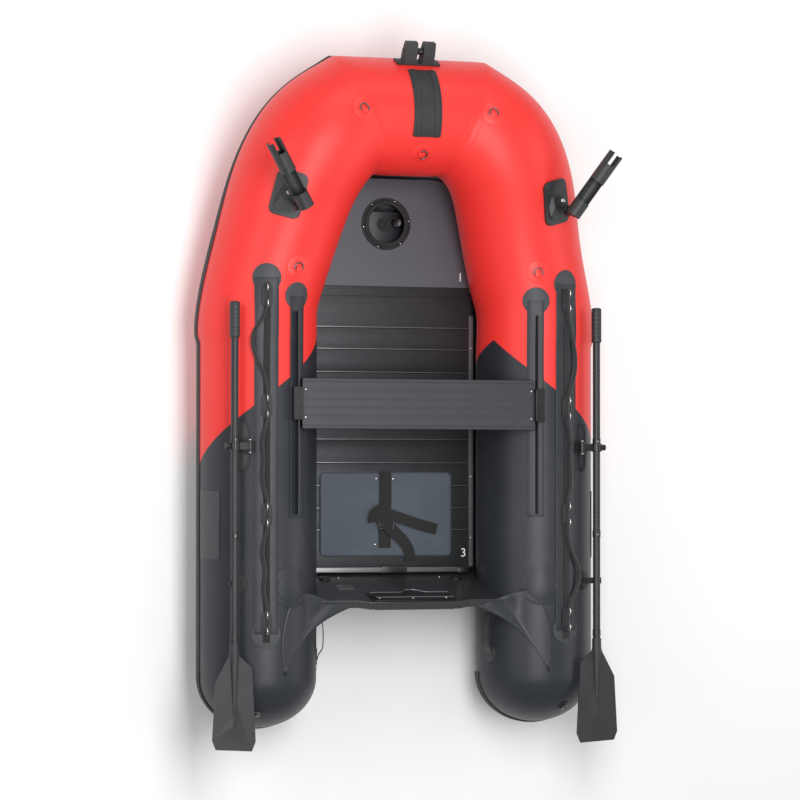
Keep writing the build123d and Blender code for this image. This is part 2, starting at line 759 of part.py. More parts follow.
def rod_cradle():
    """Local Z along the cradle, local Y up, origin on the tilt pin."""
    start = -8
    middle = start + cradle_length / 2
    tube = Pos(0, cradle_lift, middle) * Cylinder(cradle_r, cradle_length)
    bore = Pos(0, cradle_lift, middle + cradle_wall) * Cylinder(cradle_r - cradle_wall, cradle_length)
    lug_height = cradle_lift - cradle_r + cradle_wall
    lug = Circle(2 * pivot_r) + Pos(0, lug_height / 2) * Rectangle(4 * pivot_r, lug_height)
    lug_plane = Plane(origin=(0, 0, 0), x_dir=(0, 0, -1), z_dir=(1, 0, 0))
    lugs = extrude(lug_plane * lug, ear_half + lug_gap + lug_width, both=True)
    lugs -= extrude(lug_plane * Rectangle(8 * pivot_r, 4 * pivot_r + 0.2), ear_half + lug_gap, both=True)
    cradle = tube + lugs - bore
    trough_length = cradle_collar_start - cradle_trough_start
    trough = Box(3 * cradle_r, 2 * cradle_r, trough_length)
    trough_z = (cradle_collar_start + cradle_trough_start) / 2 + start
    cradle -= Pos(0, cradle_lift + cradle_r - 4, trough_z) * trough
    fork_length = cradle_length - cradle_collar_end
    fork = Box(cradle_r * 0.95, 3 * cradle_r, fork_length)
    cradle -= Pos(0, cradle_lift, start + cradle_collar_end + fork_length / 2) * fork
    socket = Cylinder(cradle_r, cradle_collar_end - cradle_collar_start)
    socket -= Cylinder(socket_r, cradle_collar_end - cradle_collar_start)
    cradle += Pos(0, cradle_lift, start + (cradle_collar_start + cradle_collar_end) / 2) * socket
    pin_half = ear_half + lug_gap + lug_width + 3
    cradle += Rot(0, 90, 0) * Cylinder(pivot_r, 2 * pin_half)
    return cradle + Pos(pin_half + 6, 0, 0) * Rot(0, 90, 0) * Cylinder(13, 12)


for side, sign in (("starboard", 1), ("port", -1)):
    seat_point = Vector(rod_frame.origin.X * sign, rod_frame.origin.Y, rod_frame.origin.Z)
    normal = Vector(rod_frame.z_dir.X * sign, rod_frame.z_dir.Y, rod_frame.z_dir.Z)
    heading = radians(cradle_heading) * sign
    climb = radians(cradle_elevation)
    level = Vector(sin(heading), cos(heading), 0)
    right = Vector(level.Y, -level.X, 0)
    top = seat_point + normal * (rod_pyramid_height + 0.3)
    turn = Plane(origin=top, x_dir=right, z_dir=normal)
    offset = Vector(*pivot_offsets[side], 0)
    pivot = top + offset - normal * normal.dot(offset) + normal * pivot_lift
    aim = level * cos(climb) + Vector(0, 0, sin(climb))
    body = Plane(origin=pivot, x_dir=right * -1, z_dir=aim)
    save("rod_holder_neck_" + side, rod_neck(top, turn, pivot, normal, right))
    save("rod_holder_cradle_" + side, body * rod_cradle())
    print(side, "rod swivel", tuple(top), tuple(normal), "pivot", tuple(pivot), "axis", tuple(right), "aim", tuple(aim))

# Oarlocks: rubber base with hinge ears, hinged collar that carries the oar
tube_line = Vector(track_half, 0, tube_z)


def on_side(y, angle):
    """Plane on the straight side tube: local X forward, local Z outward."""
    normal = Vector(sin(radians(angle)), 0, cos(radians(angle)))
    return Plane(origin=tube_line + normal * tube_r + Vector(0, y, 0), x_dir=(0, 1, 0), z_dir=normal)


lock_frame = on_side(oarlock_y, oarlock_base_angle)
lock_tool = extrude(lock_frame * Ellipse(oarlock_base_length / 2, oarlock_base_width / 2), 60, both=True)
lock_base = (lock_tool & side_tube(oarlock_base_thickness)) - side_tube()
ear_drop = oar_z - lock_frame.origin.Z + 6
lean = lock_frame.origin.X - hinge_x
hinge_plane = Plane(origin=(hinge_x, oarlock_y, oar_z), x_dir=(1, 0, 0), z_dir=(0, -1, 0))
ear_outline = Circle(hinge_r) + make_face(Polyline(
    (-hinge_r, 0), (hinge_r, 0), (lean + hinge_r, -ear_drop), (lean - 1.6 * hinge_r, -ear_drop), close=True))
ear_outline -= Circle(hinge_pin_r + running_gap)
for sign in (-1, 1):
    start_plane = hinge_plane.offset(sign * (hinge_length / 2 + 0.5))
    lock_base += extrude(start_plane * ear_outline, sign * ear_width) - side_tube()
save("oarlock_bases", both(lock_base))

lock_reach = oar_x - hinge_x
collar = extrude(hinge_plane * Circle(hinge_r), hinge_length / 2, both=True)
collar += extrude(hinge_plane * Circle(hinge_pin_r), hinge_length / 2 + ear_width, both=True)
arm = Pos(lock_reach / 2, 0) * Rectangle(lock_reach, 1.2 * hinge_r)
collar += extrude(hinge_plane * arm, hinge_length / 2, both=True)
collar += extrude(hinge_plane * Pos(lock_reach, 0) * Circle(collar_r), collar_width / 2, both=True)
collar -= extrude(hinge_plane * Pos(lock_reach, 0) * Circle(loom_r), collar_width, both=True)
pin = Pos(oar_x + collar_r + knob_length / 2 - 1, oarlock_y, oar_z) * Rot(0, 90, 0) * Cylinder(knob_r, knob_length)
collar += pin - extrude(hinge_plane * Pos(lock_reach, 0) * Circle(collar_r - 1), collar_width, both=True)
save_sides("oarlock_collar", collar)

# Oars
grip_low_y = grip_top_y - grip_length
oar_start = Plane(origin=(oar_x, grip_top_y, oar_z), x_dir=(1, 0, 0), z_dir=(0, -1, 0))
grip = extrude(oar_start * Circle(grip_r), grip_length)
grip = fillet(grip.edges().filter_by(GeomType.CIRCLE), grip_r * 0.3)
save_sides("oar_grip", grip)
save_sides("oar_loom", extrude(oar_start.offset(grip_length) * Circle(loom_r), grip_low_y - blade_root_y))
half_blade = blade_width / 2
shoulder_y = blade_root_y - 45
outline = Polyline(
    (-loom_r, blade_root_y), (loom_r, blade_root_y), (loom_r + 6, shoulder_y),
    (half_blade * 0.86, shoulder_y - 95), (half_blade, blade_end_y + 40), (half_blade * 0.84, blade_end_y + 8),
    (-half_blade * 0.8, blade_end_y), (-half_blade * 0.98, blade_end_y + 34),
    (-half_blade * 0.8, shoulder_y - 40), (-loom_r - 6, shoulder_y), close=True)
blade = extrude(Pos(oar_x, 0, oar_z) * make_face(outline), blade_thickness / 2, both=True)
sleeve_end_y = blade_end_y + 90
rib = loft([
    Plane(origin=(oar_x, blade_root_y, oar_z), x_dir=(1, 0, 0), z_dir=(0, -1, 0)) * Circle(blade_sleeve_r),
    Plane(origin=(oar_x, shoulder_y, oar_z), x_dir=(1, 0, 0), z_dir=(0, -1, 0)) * Circle(blade_sleeve_r),
    Plane(origin=(oar_x, sleeve_end_y, oar_z), x_dir=(1, 0, 0), z_dir=(0, -1, 0)) * Circle(blade_thickness * 0.7),
], ruled=True)
save_sides("oar_blade", blade + rib)

# Clips that hold the oar near its blade
clip_angle = degrees(asin((oar_x - track_half) / Vector(oar_x - track_half, 0, oar_z - tube_z).length))
clip_frame = on_side(clip_y, clip_angle)
clip_height = Vector(oar_x - track_half, 0, oar_z - tube_z).length - tube_r
clip_tool = extrude(clip_frame * Circle(clip_base_r), 60, both=True)
clip = (clip_tool & side_tube(patch_thickness + 2)) - side_tube()
clip += clip_frame * Pos(0, 0, (clip_height - loom_r - clip_gap) / 2) * Box(
    clip_width, 16, clip_height - loom_r - clip_gap) - side_tube()
cup = Circle(loom_r + clip_gap + clip_wall) - Circle(loom_r + clip_gap)
cup = cup & Pos(0, -tube_r) * Rectangle(2 * tube_r, 2 * tube_r)
cup_plane = Plane(origin=(oar_x, clip_y, oar_z), x_dir=(1, 0, 0), z_dir=(0, -1, 0))
clip += extrude(cup_plane * cup, clip_width / 2, both=True)
clip -= extrude(cup_plane * Circle(loom_r + clip_gap), clip_width, both=True)
save("oar_clips", both(clip))


# Blank side patches and the stern carrying handles
def side_sector(angle_low, angle_high, y_high, y_low, inner, outer):
    return sector(side_frame(y_high), angle_low, angle_high, y_high - y_low, inner, outer)


side_patch = side_sector(side_patch_angles[0], side_patch_angles[1], side_patch_y[0], side_patch_y[1],
                         tube_r, tube_r + patch_thickness)
save("side_patches", both(side_patch))

handle_low = handle_angle - 6
handle_high = handle_angle + 6
foot = 42
handle_outer = tube_r + handle_standoff
handle = side_sector(handle_low, handle_high, handle_y[0], handle_y[0] - foot, tube_r, handle_outer)
handle += side_sector(handle_low, handle_high, handle_y[1] + foot, handle_y[1], tube_r, handle_outer)
handle += side_sector(handle_low, handle_high, handle_y[0], handle_y[1], handle_outer - 7, handle_outer)
save("stern_handles", both(handle))
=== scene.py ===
import math
import bpy
import bmesh
from mathutils import Matrix, Vector, noise
from mathutils.bvhtree import BVHTree
from mathutils.geometry import interpolate_bezier
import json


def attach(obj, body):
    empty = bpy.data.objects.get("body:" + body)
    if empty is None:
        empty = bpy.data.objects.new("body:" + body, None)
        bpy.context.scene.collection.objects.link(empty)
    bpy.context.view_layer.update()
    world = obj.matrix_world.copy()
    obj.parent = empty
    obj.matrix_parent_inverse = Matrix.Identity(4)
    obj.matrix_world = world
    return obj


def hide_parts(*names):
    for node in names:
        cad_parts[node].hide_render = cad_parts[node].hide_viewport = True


# Inflatable fishing boat in metres: +X starboard, +Y bow, +Z up

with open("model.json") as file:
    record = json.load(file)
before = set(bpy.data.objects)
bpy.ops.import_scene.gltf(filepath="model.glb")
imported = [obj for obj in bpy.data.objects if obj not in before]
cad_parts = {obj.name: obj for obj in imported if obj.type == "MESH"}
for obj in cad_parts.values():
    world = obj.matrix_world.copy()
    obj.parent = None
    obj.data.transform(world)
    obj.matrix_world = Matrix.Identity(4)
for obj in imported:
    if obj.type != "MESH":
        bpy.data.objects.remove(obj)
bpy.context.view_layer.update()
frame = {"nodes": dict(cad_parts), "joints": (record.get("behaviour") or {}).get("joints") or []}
nodes = frame["nodes"]
scene = bpy.context.scene
up = Vector((0, 0, 1))
print("frame loaded,", len(nodes), "nodes")


# Camera, high above the port side
view = {"place": (-5.0099, -0.3332, 13.0734), "turn": (0.02246, -0.37221, 0.00067), "lens": 168.65}
cameraData = bpy.data.cameras.new("mainCamera")
cameraData.lens = view["lens"]
cameraData.clip_end = 60
camera = bpy.data.objects.new("mainCamera", cameraData)
camera.location = view["place"]
camera.rotation_euler = view["turn"]
scene.collection.objects.link(camera)
scene.camera = camera
scene.view_settings.view_transform = "Standard"


# Node group helpers
def plug(tree, socket, value):
    if isinstance(value, bpy.types.NodeSocket):
        tree.links.new(value, socket)
    elif value is not None:
        socket.default_value = value


def mathNode(tree, operation, first, second=None, third=None):
    node = tree.nodes.new("ShaderNodeMath")
    node.operation = operation
    for socket, value in zip(node.inputs, (first, second, third)):
        plug(tree, socket, value)
    return node.outputs[0]


def ramp(tree, value, low, high, start=0.0, end=1.0):
    node = tree.nodes.new("ShaderNodeMapRange")
    node.interpolation_type = "SMOOTHSTEP"
    for socket, entry in zip(node.inputs, (value, low, high, start, end)):
        plug(tree, socket, entry)
    return node.outputs[0]


def mixColour(tree, fac, first, second):
    node = tree.nodes.new("ShaderNodeMix")
    node.data_type = "RGBA"
    plug(tree, node.inputs[0], fac)
    plug(tree, node.inputs[6], first)
    plug(tree, node.inputs[7], second)
    return node.outputs[2]


def noiseNode(tree, vector, scale, detail=3.0, rough=0.55):
    node = tree.nodes.new("ShaderNodeTexNoise")
    plug(tree, node.inputs["Vector"], vector)
    plug(tree, node.inputs["Scale"], scale)
    node.inputs["Detail"].default_value = detail
    node.inputs["Roughness"].default_value = rough
    return node.outputs["Fac"]


def startGroup(name, inputs, outputs):
    tree = bpy.data.node_groups.new(name, "ShaderNodeTree")
    for label, kind, value in inputs:
        socket = tree.interface.new_socket(name=label, in_out="INPUT", socket_type="NodeSocket" + kind)
        if value is not None:
            socket.default_value = value
    for label, kind in outputs:
        tree.interface.new_socket(name=label, in_out="OUTPUT", socket_type="NodeSocket" + kind)
    return tree, tree.nodes.new("NodeGroupInput").outputs, tree.nodes.new("NodeGroupOutput").inputs


# Handling marks and dust: colour and gloss that vary over a surface
agedSurface, given, out = startGroup(
    "agedSurface",
    [("Vector", "Vector", None), ("Colour", "Color", None), ("Dust", "Color", (0.12, 0.12, 0.12, 1)),
     ("Amount", "Float", 0.1), ("Scale", "Float", 6.0), ("Roughness", "Float", 0.5), ("Spread", "Float", 0.12)],
    [("Colour", "Color"), ("Roughness", "Float")])
broad = noiseNode(agedSurface, given["Vector"], given["Scale"], 4)
fineScale = mathNode(agedSurface, "MULTIPLY", given["Scale"], 11.0)
fine = noiseNode(agedSurface, given["Vector"], fineScale, 6, 0.65)
cover = mathNode(agedSurface, "MULTIPLY", ramp(agedSurface, broad, 0.42, 0.72), fine)
cover = mathNode(agedSurface, "MULTIPLY", cover, given["Amount"])
agedSurface.links.new(mixColour(agedSurface, cover, given["Colour"], given["Dust"]), out["Colour"])
shift = mathNode(agedSurface, "MULTIPLY", mathNode(agedSurface, "SUBTRACT", fine, 0.5), given["Spread"])
shift = mathNode(agedSurface, "ADD", shift, mathNode(agedSurface, "MULTIPLY", cover, 0.3))
agedSurface.links.new(mathNode(agedSurface, "ADD", given["Roughness"], shift), out["Roughness"])

# Threads that go over and under each other
clothWeave, given, out = startGroup(
    "clothWeave", [("Vector", "Vector", None), ("Threads", "Float", 900.0), ("Slant", "Float", 0.0)], [("Height", "Float")])
parts = clothWeave.nodes.new("ShaderNodeSeparateXYZ")
clothWeave.links.new(given["Vector"], parts.inputs[0])
skewed = mathNode(clothWeave, "ADD", parts.outputs[0], mathNode(clothWeave, "MULTIPLY", parts.outputs[1], given["Slant"]))
pace = mathNode(clothWeave, "MULTIPLY", given["Threads"], math.pi)
warp = mathNode(clothWeave, "SINE", mathNode(clothWeave, "MULTIPLY", skewed, pace))
weft = mathNode(clothWeave, "SINE", mathNode(clothWeave, "MULTIPLY", parts.outputs[1], pace))
clothWeave.links.new(mathNode(clothWeave, "ABSOLUTE", mathNode(clothWeave, "MULTIPLY", warp, weft)), out["Height"])

# Pebbled skin of moulded plastic and rubber
mouldedGrain, given, out = startGroup(
    "mouldedGrain", [("Vector", "Vector", None), ("Scale", "Float", 900.0)], [("Height", "Float")])
cells = mouldedGrain.nodes.new("ShaderNodeTexVoronoi")
cells.feature = "SMOOTH_F1"
mouldedGrain.links.new(given["Vector"], cells.inputs["Vector"])
mouldedGrain.links.new(given["Scale"], cells.inputs["Scale"])
wander = noiseNode(mouldedGrain, given["Vector"], mathNode(mouldedGrain, "MULTIPLY", given["Scale"], 0.12), 2)
mouldedGrain.links.new(mathNode(mouldedGrain, "ADD", cells.outputs["Distance"], wander), out["Height"])

# Fine lines along one direction, as on drawn or rolled metal
drawnLines, given, out = startGroup(
    "drawnLines", [("Vector", "Vector", None), ("Stretch", "Vector", (8, 900, 900))], [("Height", "Float")])
stretched = drawnLines.nodes.new("ShaderNodeVectorMath")
stretched.operation = "MULTIPLY"
drawnLines.links.new(given["Vector"], stretched.inputs[0])
drawnLines.links.new(given["Stretch"], stretched.inputs[1])
drawnLines.links.new(noiseNode(drawnLines, stretched.outputs[0], 1.0, 5, 0.7), out["Height"])

# A glued tape or lap: 1 inside, 0 outside, with a soft edge
gluedTape, given, out = startGroup(
    "gluedTape", [("Distance", "Float", 0.0), ("Half", "Float", 0.02), ("Soft", "Float", 0.0012)], [("Height", "Float")])
away = mathNode(gluedTape, "SUBTRACT", mathNode(gluedTape, "ABSOLUTE", given["Distance"]), given["Half"])
softEdge = mathNode(gluedTape, "DIVIDE", away, given["Soft"])
gluedTape.links.new(ramp(gluedTape, softEdge, -1.0, 1.0, 1.0, 0.0), out["Height"])
print("node groups built")


def placeGroup(tree, group, **values):
    node = tree.nodes.new("ShaderNodeGroup")
    node.node_tree = group
    for label, value in values.items():
        plug(tree, node.inputs[label], value)
    return node.outputs


def makeMaterial(name, colour, roughness, metal=0.0, coat=0.0, dust=0.12, dustColour=(0.12, 0.12, 0.12, 1), patchScale=6.0,
                 spread=0.12, texture=None, size=900.0, depth=0.00005, stretch=(8, 900, 900), onUv=False, sheen=0.0, level=0.5):
    material = bpy.data.materials.new(name)
    material.use_nodes = True
    tree = material.node_tree
    shader = tree.nodes["Principled BSDF"]
    place = tree.nodes.new("ShaderNodeTexCoord").outputs["UV" if onUv else "Object"]
    aged = placeGroup(tree, agedSurface, Vector=place, Colour=(*colour, 1), Dust=dustColour, Amount=dust,
                      Scale=patchScale, Roughness=roughness, Spread=spread)
    plug(tree, shader.inputs["Base Color"], aged["Colour"])
    plug(tree, shader.inputs["Roughness"], aged["Roughness"])
    shader.inputs["Metallic"].default_value = metal
    shader.inputs["Coat Weight"].default_value = coat
    shader.inputs["Coat Roughness"].default_value = 0.25
    shader.inputs["Sheen Weight"].default_value = sheen
    shader.inputs["Specular IOR Level"].default_value = level
    if texture:
        options = {"Vector": place}
        if texture == clothWeave:
            options["Threads"] = size
        elif texture == mouldedGrain:
            options["Scale"] = size
        else:
            options["Stretch"] = stretch
        height = placeGroup(tree, texture, **options)["Height"]
        addBump(tree, shader, height, depth)
    return material


def addBump(tree, shader, height, depth):
    bump = tree.nodes.new("ShaderNodeBump")
    bump.inputs["Distance"].default_value = depth
    plug(tree, bump.inputs["Height"], height)
    before = shader.inputs["Normal"].links
    if before:
        tree.links.new(before[0].from_socket, bump.inputs["Normal"])
    tree.links.new(bump.outputs[0], shader.inputs["Normal"])


tones = {
    "red": (0.80, 0.034, 0.028), "darkCloth": (0.019, 0.022, 0.028), "strap": (0.006, 0.006, 0.007),
    "floor": (0.032, 0.034, 0.038), "seat": (0.050, 0.052, 0.058), "pad": (0.054, 0.068, 0.088),
    "black": (0.006, 0.006, 0.007), "grey": (0.020, 0.021, 0.023), "rubber": (0.014, 0.015, 0.017),
    "steel": (0.62, 0.61, 0.59), "transom": (0.022, 0.024, 0.026),
}
redCloth = makeMaterial("redCloth", tones["red"], 0.42, dust=0.05, dustColour=(0.9, 0.12, 0.1, 1), texture=clothWeave,
                        size=700, depth=0.00003)
darkCloth = makeMaterial("darkCloth", tones["darkCloth"], 0.42, dust=0.14, texture=clothWeave, size=700, depth=0.00003, level=0.4)
patchCloth = makeMaterial("patchCloth", (0.034, 0.038, 0.043), 0.5, dust=0.2, texture=clothWeave, size=500, depth=0.00005)
webbing = makeMaterial("webbing", tones["strap"], 0.8, dust=0.3, dustColour=(0.04, 0.04, 0.04, 1), texture=clothWeave,
                       size=420, depth=0.0003, sheen=0.3)
ropeBraid = makeMaterial("ropeBraid", (0.008, 0.009, 0.010), 0.75, dust=0.35, dustColour=(0.05, 0.05, 0.05, 1),
                         patchScale=20, texture=clothWeave, size=1300, depth=0.0002, sheen=0.3)
bowFloorMetal = makeMaterial("bowFloorMetal", (0.105, 0.110, 0.130), 0.40, metal=0.45, dust=0.1, patchScale=3,
                            texture=drawnLines, stretch=(500, 8, 500), depth=0.00003)
floorMetal = makeMaterial("floorMetal", tones["floor"], 0.46, metal=0.55, dust=0.1, patchScale=3, texture=drawnLines,
                          depth=0.00006)
seatMetal = makeMaterial("seatMetal", tones["seat"], 0.42, metal=0.35, dust=0.1, patchScale=4, texture=drawnLines,
                         stretch=(6, 700, 700), depth=0.00005)
# pale bare metal; on the floor joint lips its pale colour is also a painted edge highlight
paleMetalAndHighlight = makeMaterial("paleMetalAndHighlight", (0.17, 0.175, 0.18), 0.34, metal=0.7, dust=0.1, texture=drawnLines, depth=0.00003)
oarMetal = makeMaterial("oarMetal", (0.026, 0.028, 0.031), 0.38, metal=0.4, dust=0.12, patchScale=10, texture=drawnLines,
                        stretch=(900, 10, 900), depth=0.00003)
oarPlastic = makeMaterial("oarPlastic", (0.018, 0.020, 0.023), 0.48, dust=0.15, texture=mouldedGrain, size=700, depth=0.00005)
blackPlastic = makeMaterial("blackPlastic", tones["black"], 0.34, dust=0.12, texture=mouldedGrain, size=1100, depth=0.00003)
greyPlastic = makeMaterial("greyPlastic", tones["grey"], 0.46, dust=0.16, texture=mouldedGrain, size=900, depth=0.00005)
softRubber = makeMaterial("softRubber", tones["rubber"], 0.58, dust=0.25, texture=mouldedGrain, size=600, depth=0.00006)
padFoam = makeMaterial("padFoam", tones["pad"], 0.62, dust=0.22, dustColour=(0.16, 0.19, 0.22, 1), patchScale=7,
                       texture=mouldedGrain, size=500, depth=0.0001, sheen=0.1)
transomPaint = makeMaterial("transomPaint", tones["transom"], 0.32, coat=0.35, dust=0.12, texture=mouldedGrain, size=260,
                            depth=0.00008)
steel = makeMaterial("steel", tones["steel"], 0.22, metal=1.0, dust=0.1, patchScale=40, texture=drawnLines,
                     stretch=(900, 900, 60), depth=0.00002)
darkSteel = makeMaterial("darkSteel", (0.16, 0.16, 0.165), 0.3, metal=1.0, dust=0.15, patchScale=40)
paintWhite = makeMaterial("paintWhite", (0.75, 0.75, 0.74), 0.5, dust=0.2)


# Hull cloth: red bow, dark stern with a pointed lap between them, and taped seams
lap = {"crown": 0.015, "slope": -0.163, "point": 0.2, "back": 0.115, "low": -0.27}
hullCloth = makeMaterial("hullCloth", tones["red"], 0.42, dust=0.05, dustColour=(0.9, 0.12, 0.1, 1), patchScale=4)
tree = hullCloth.node_tree
shader = tree.nodes["Principled BSDF"]
shader.inputs["Specular IOR Level"].default_value = 0.38
coords = tree.nodes.new("ShaderNodeTexCoord")
axes = tree.nodes.new("ShaderNodeSeparateXYZ")
tree.links.new(coords.outputs["Object"], axes.inputs[0])
side = mathNode(tree, "ABSOLUTE", axes.outputs[0])
along = axes.outputs[1]
turnAbout = mathNode(tree, "ARCTAN2", mathNode(tree, "SUBTRACT", side, 0.545),
                     mathNode(tree, "SUBTRACT", axes.outputs[2], 0.215))
topLine = mathNode(tree, "MULTIPLY_ADD", turnAbout, lap["slope"], lap["crown"])
backLine = mathNode(tree, "MULTIPLY_ADD", mathNode(tree, "ADD", turnAbout, 1.187), lap["back"], lap["point"])
lowLine = mathNode(tree, "MULTIPLY_ADD", mathNode(tree, "SUBTRACT", turnAbout, 1.745), 0.175, lap["low"])
border = mathNode(tree, "MAXIMUM", mathNode(tree, "MINIMUM", topLine, backLine), lowLine)
past = mathNode(tree, "SUBTRACT", along, border)
isRed = ramp(tree, past, -0.0006, 0.0006)
darkTone = placeGroup(tree, agedSurface, Vector=coords.outputs["Object"], Colour=(*tones["darkCloth"], 1), Amount=0.16,
                      Scale=3.0, Roughness=0.40)
redTone = next(n for n in tree.nodes if n.type == "GROUP" and n.node_tree == agedSurface).outputs
lapShade = mathNode(tree, "MULTIPLY", placeGroup(tree, gluedTape, Distance=past, Half=0.001, Soft=0.0012)["Height"], 0.45)
plug(tree, shader.inputs["Base Color"], mixColour(tree, lapShade, mixColour(
    tree, isRed, darkTone["Colour"], redTone["Colour"]), (0.02, 0.015, 0.015, 1)))
weave = placeGroup(tree, clothWeave, Vector=coords.outputs["UV"], Threads=700.0)["Height"]
addBump(tree, shader, weave, 0.00003)
mitre = mathNode(tree, "SUBTRACT", mathNode(tree, "MULTIPLY", mathNode(tree, "SUBTRACT", side, 0.204), 0.9239),
                 mathNode(tree, "MULTIPLY", mathNode(tree, "SUBTRACT", along, 1.014), 0.3827))
coneSeam = mathNode(tree, "SUBTRACT", along, -1.018)
sideSeam = mathNode(tree, "ADD", mathNode(tree, "MULTIPLY", mathNode(tree, "ADD", turnAbout, 1.187), 0.215),
                    mathNode(tree, "MULTIPLY", mathNode(tree, "GREATER_THAN", along, 0.2), 5.0))
seams = placeGroup(tree, gluedTape, Distance=mitre, Half=0.019, Soft=0.0014)["Height"]
for distance, half in ((coneSeam, 0.012), (sideSeam, 0.011)):
    tape = placeGroup(tree, gluedTape, Distance=distance, Half=half, Soft=0.0012)["Height"]
    seams = mathNode(tree, "MAXIMUM", seams, tape)
seams = mathNode(tree, "MAXIMUM", seams, mathNode(tree, "SUBTRACT", 1.0, isRed))
addBump(tree, shader, seams, 0.0009)
print("materials built")


# Shape helpers
def frameAt(place, normal, forward=(0, 1, 0)):
    normal = Vector(normal).normalized()
    forward = Vector(forward) - normal * normal.dot(Vector(forward))
    forward.normalize()
    turned = Matrix((forward, normal.cross(forward), normal)).transposed().to_4x4()
    turned.translation = Vector(place)
    return turned


def addShape(bm, shape, matrix=Matrix()):
    mesh = bpy.data.meshes.new("part")
    if isinstance(shape, bmesh.types.BMesh):
        shape.to_mesh(mesh)
    else:
        mesh = shape.copy()
    mesh.transform(matrix)
    if matrix.determinant() < 0:
        mesh.flip_normals()
    bm.from_mesh(mesh)
    bpy.data.meshes.remove(mesh)


mirrorX = Matrix.Diagonal((-1, 1, 1, 1))


def mirrorShape(bm):
    addShape(bm, bm.copy(), mirrorX)


def lathe(profile, steps=28):
    bm = bmesh.new()
    verts = [bm.verts.new((r, 0, z)) for r, z in profile]
    edges = [bm.edges.new(pair) for pair in zip(verts, verts[1:])]
    bmesh.ops.spin(bm, geom=verts + edges, axis=(0, 0, 1), cent=(0, 0, 0), angle=math.tau, steps=steps, use_merge=True)
    bmesh.ops.remove_doubles(bm, verts=bm.verts, dist=0.00001)
    bmesh.ops.recalc_face_normals(bm, faces=bm.faces)
    return bm


def block(size, edge=0.001, segments=2):
    bm = bmesh.new()
    bmesh.ops.create_cube(bm, size=1, matrix=Matrix.Diagonal((*size, 1)))
    if edge:
        bmesh.ops.bevel(bm, geom=bm.edges[:], offset=edge, affect="EDGES", segments=segments, profile=0.5, material=-1)
    return bm


def plate(outline, thickness, edge=0.001):
    bm = bmesh.new()
    face = bm.faces.new([bm.verts.new((x, y, 0)) for x, y in outline])
    if face.normal.z < 0:
        face.normal_flip()
    raised = bmesh.ops.extrude_face_region(bm, geom=[face])["geom"]
    bmesh.ops.translate(bm, verts=[v for v in raised if isinstance(v, bmesh.types.BMVert)], vec=(0, 0, thickness))
    bmesh.ops.recalc_face_normals(bm, faces=bm.faces)
    if edge:
        rims = [e for e in bm.edges if e.calc_face_angle(0) > 0.6]
        bmesh.ops.bevel(bm, geom=rims, offset=edge, affect="EDGES", segments=2, profile=0.5, material=-1)
    return bm


def roundedOutline(width, length, radius, steps=6):
    points = []
    for sx, sy, start in ((1, 1, 0), (-1, 1, 90), (-1, -1, 180), (1, -1, 270)):
        for step in range(steps + 1):
            angle = math.radians(start + 90 * step / steps)
            points.append((sx * (width / 2 - radius) + radius * math.cos(angle),
                           sy * (length / 2 - radius) + radius * math.sin(angle)))
    return points


def loftLoops(bm, profile, frames, closed=True):
    loops = []
    for matrix in frames:
        verts = [bm.verts.new(matrix @ Vector(point)) for point in profile]
        pairs = list(zip(verts, verts[1:])) + ([(verts[-1], verts[0])] if closed else [])
        loops.append([bm.edges.new(pair) for pair in pairs])
    for before, after in zip(loops, loops[1:]):
        bmesh.ops.bridge_loops(bm, edges=before + after)
    return loops


def wire(points, radius, closed=False, smooth=True, sides=3, steps=6):
    curve = bpy.data.curves.new("wire", "CURVE")
    curve.dimensions = "3D"
    curve.bevel_depth = radius
    curve.bevel_resolution = sides
    curve.use_fill_caps = not closed
    curve.resolution_u = steps
    spline = curve.splines.new("NURBS" if smooth else "POLY")
    spline.points.add(len(points) - 1)
    for point, place in zip(spline.points, points):
        point.co = (*place, 1)
    spline.use_cyclic_u = closed
    if smooth:
        spline.order_u = 3
        spline.use_endpoint_u = not closed
    holder = bpy.data.objects.new("wire", curve)
    mesh = bpy.data.meshes.new_from_object(holder)
    bpy.data.objects.remove(holder)
    return mesh


def newPiece(name, bm, material, body="hull", sharp=35, replaced=()):
    mesh = bpy.data.meshes.new(name)
    bmesh.ops.remove_doubles(bm, verts=bm.verts, dist=0.00001)
    bm.to_mesh(mesh)
    bm.free()
    mesh.materials.append(material)
    mesh.shade_smooth()
    mesh.set_sharp_from_angle(angle=math.radians(sharp))
    piece = bpy.data.objects.new(name, mesh)
    scene.collection.objects.link(piece)
    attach(piece, body)
    if replaced:
        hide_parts(*replaced)
    return piece


def addModifier(piece, kind, **values):
    modifier = piece.modifiers.new(kind.title(), kind)
    for key, value in values.items():
        setattr(modifier, key, value)
    return modifier


def refined(node, material, body="hull", edge=0.0012, segments=2, angle=32):
    # a copy of a hard node with its edges broken
    bm = bmesh.new()
    bm.from_mesh(nodes[node].data)
    bmesh.ops.remove_doubles(bm, verts=bm.verts, dist=0.00002)
    bmesh.ops.dissolve_limit(bm, angle_limit=math.radians(1.0), verts=bm.verts, edges=bm.edges)
    piece = newPiece(node + ".piece", bm, material, body, replaced=(node,))
    addModifier(piece, "BEVEL", width=edge, segments=segments, limit_method="ANGLE", angle_limit=math.radians(angle))
    return piece


# The air tubes as one smooth skin over the solids
tubeNodes = ["bow_tube"] + [n + s for n in ("side_tube", "shoulder_tube", "stern_cone") for s in ("_port", "_starboard")]
corners, sheets = [], []
for name in tubeNodes:
    start = len(corners)
    corners += [v.co.copy() for v in nodes[name].data.vertices]
    sheets += [[start + i for i in p.vertices] for p in nodes[name].data.polygons]
tubeTree = BVHTree.FromPolygons(corners, sheets)


def skinPoint(centre, direction, reach=0.34):
    direction = Vector(direction).normalized()
    place, normal, index, distance = tubeTree.ray_cast(Vector(centre) + direction * reach, -direction)
    return place, normal


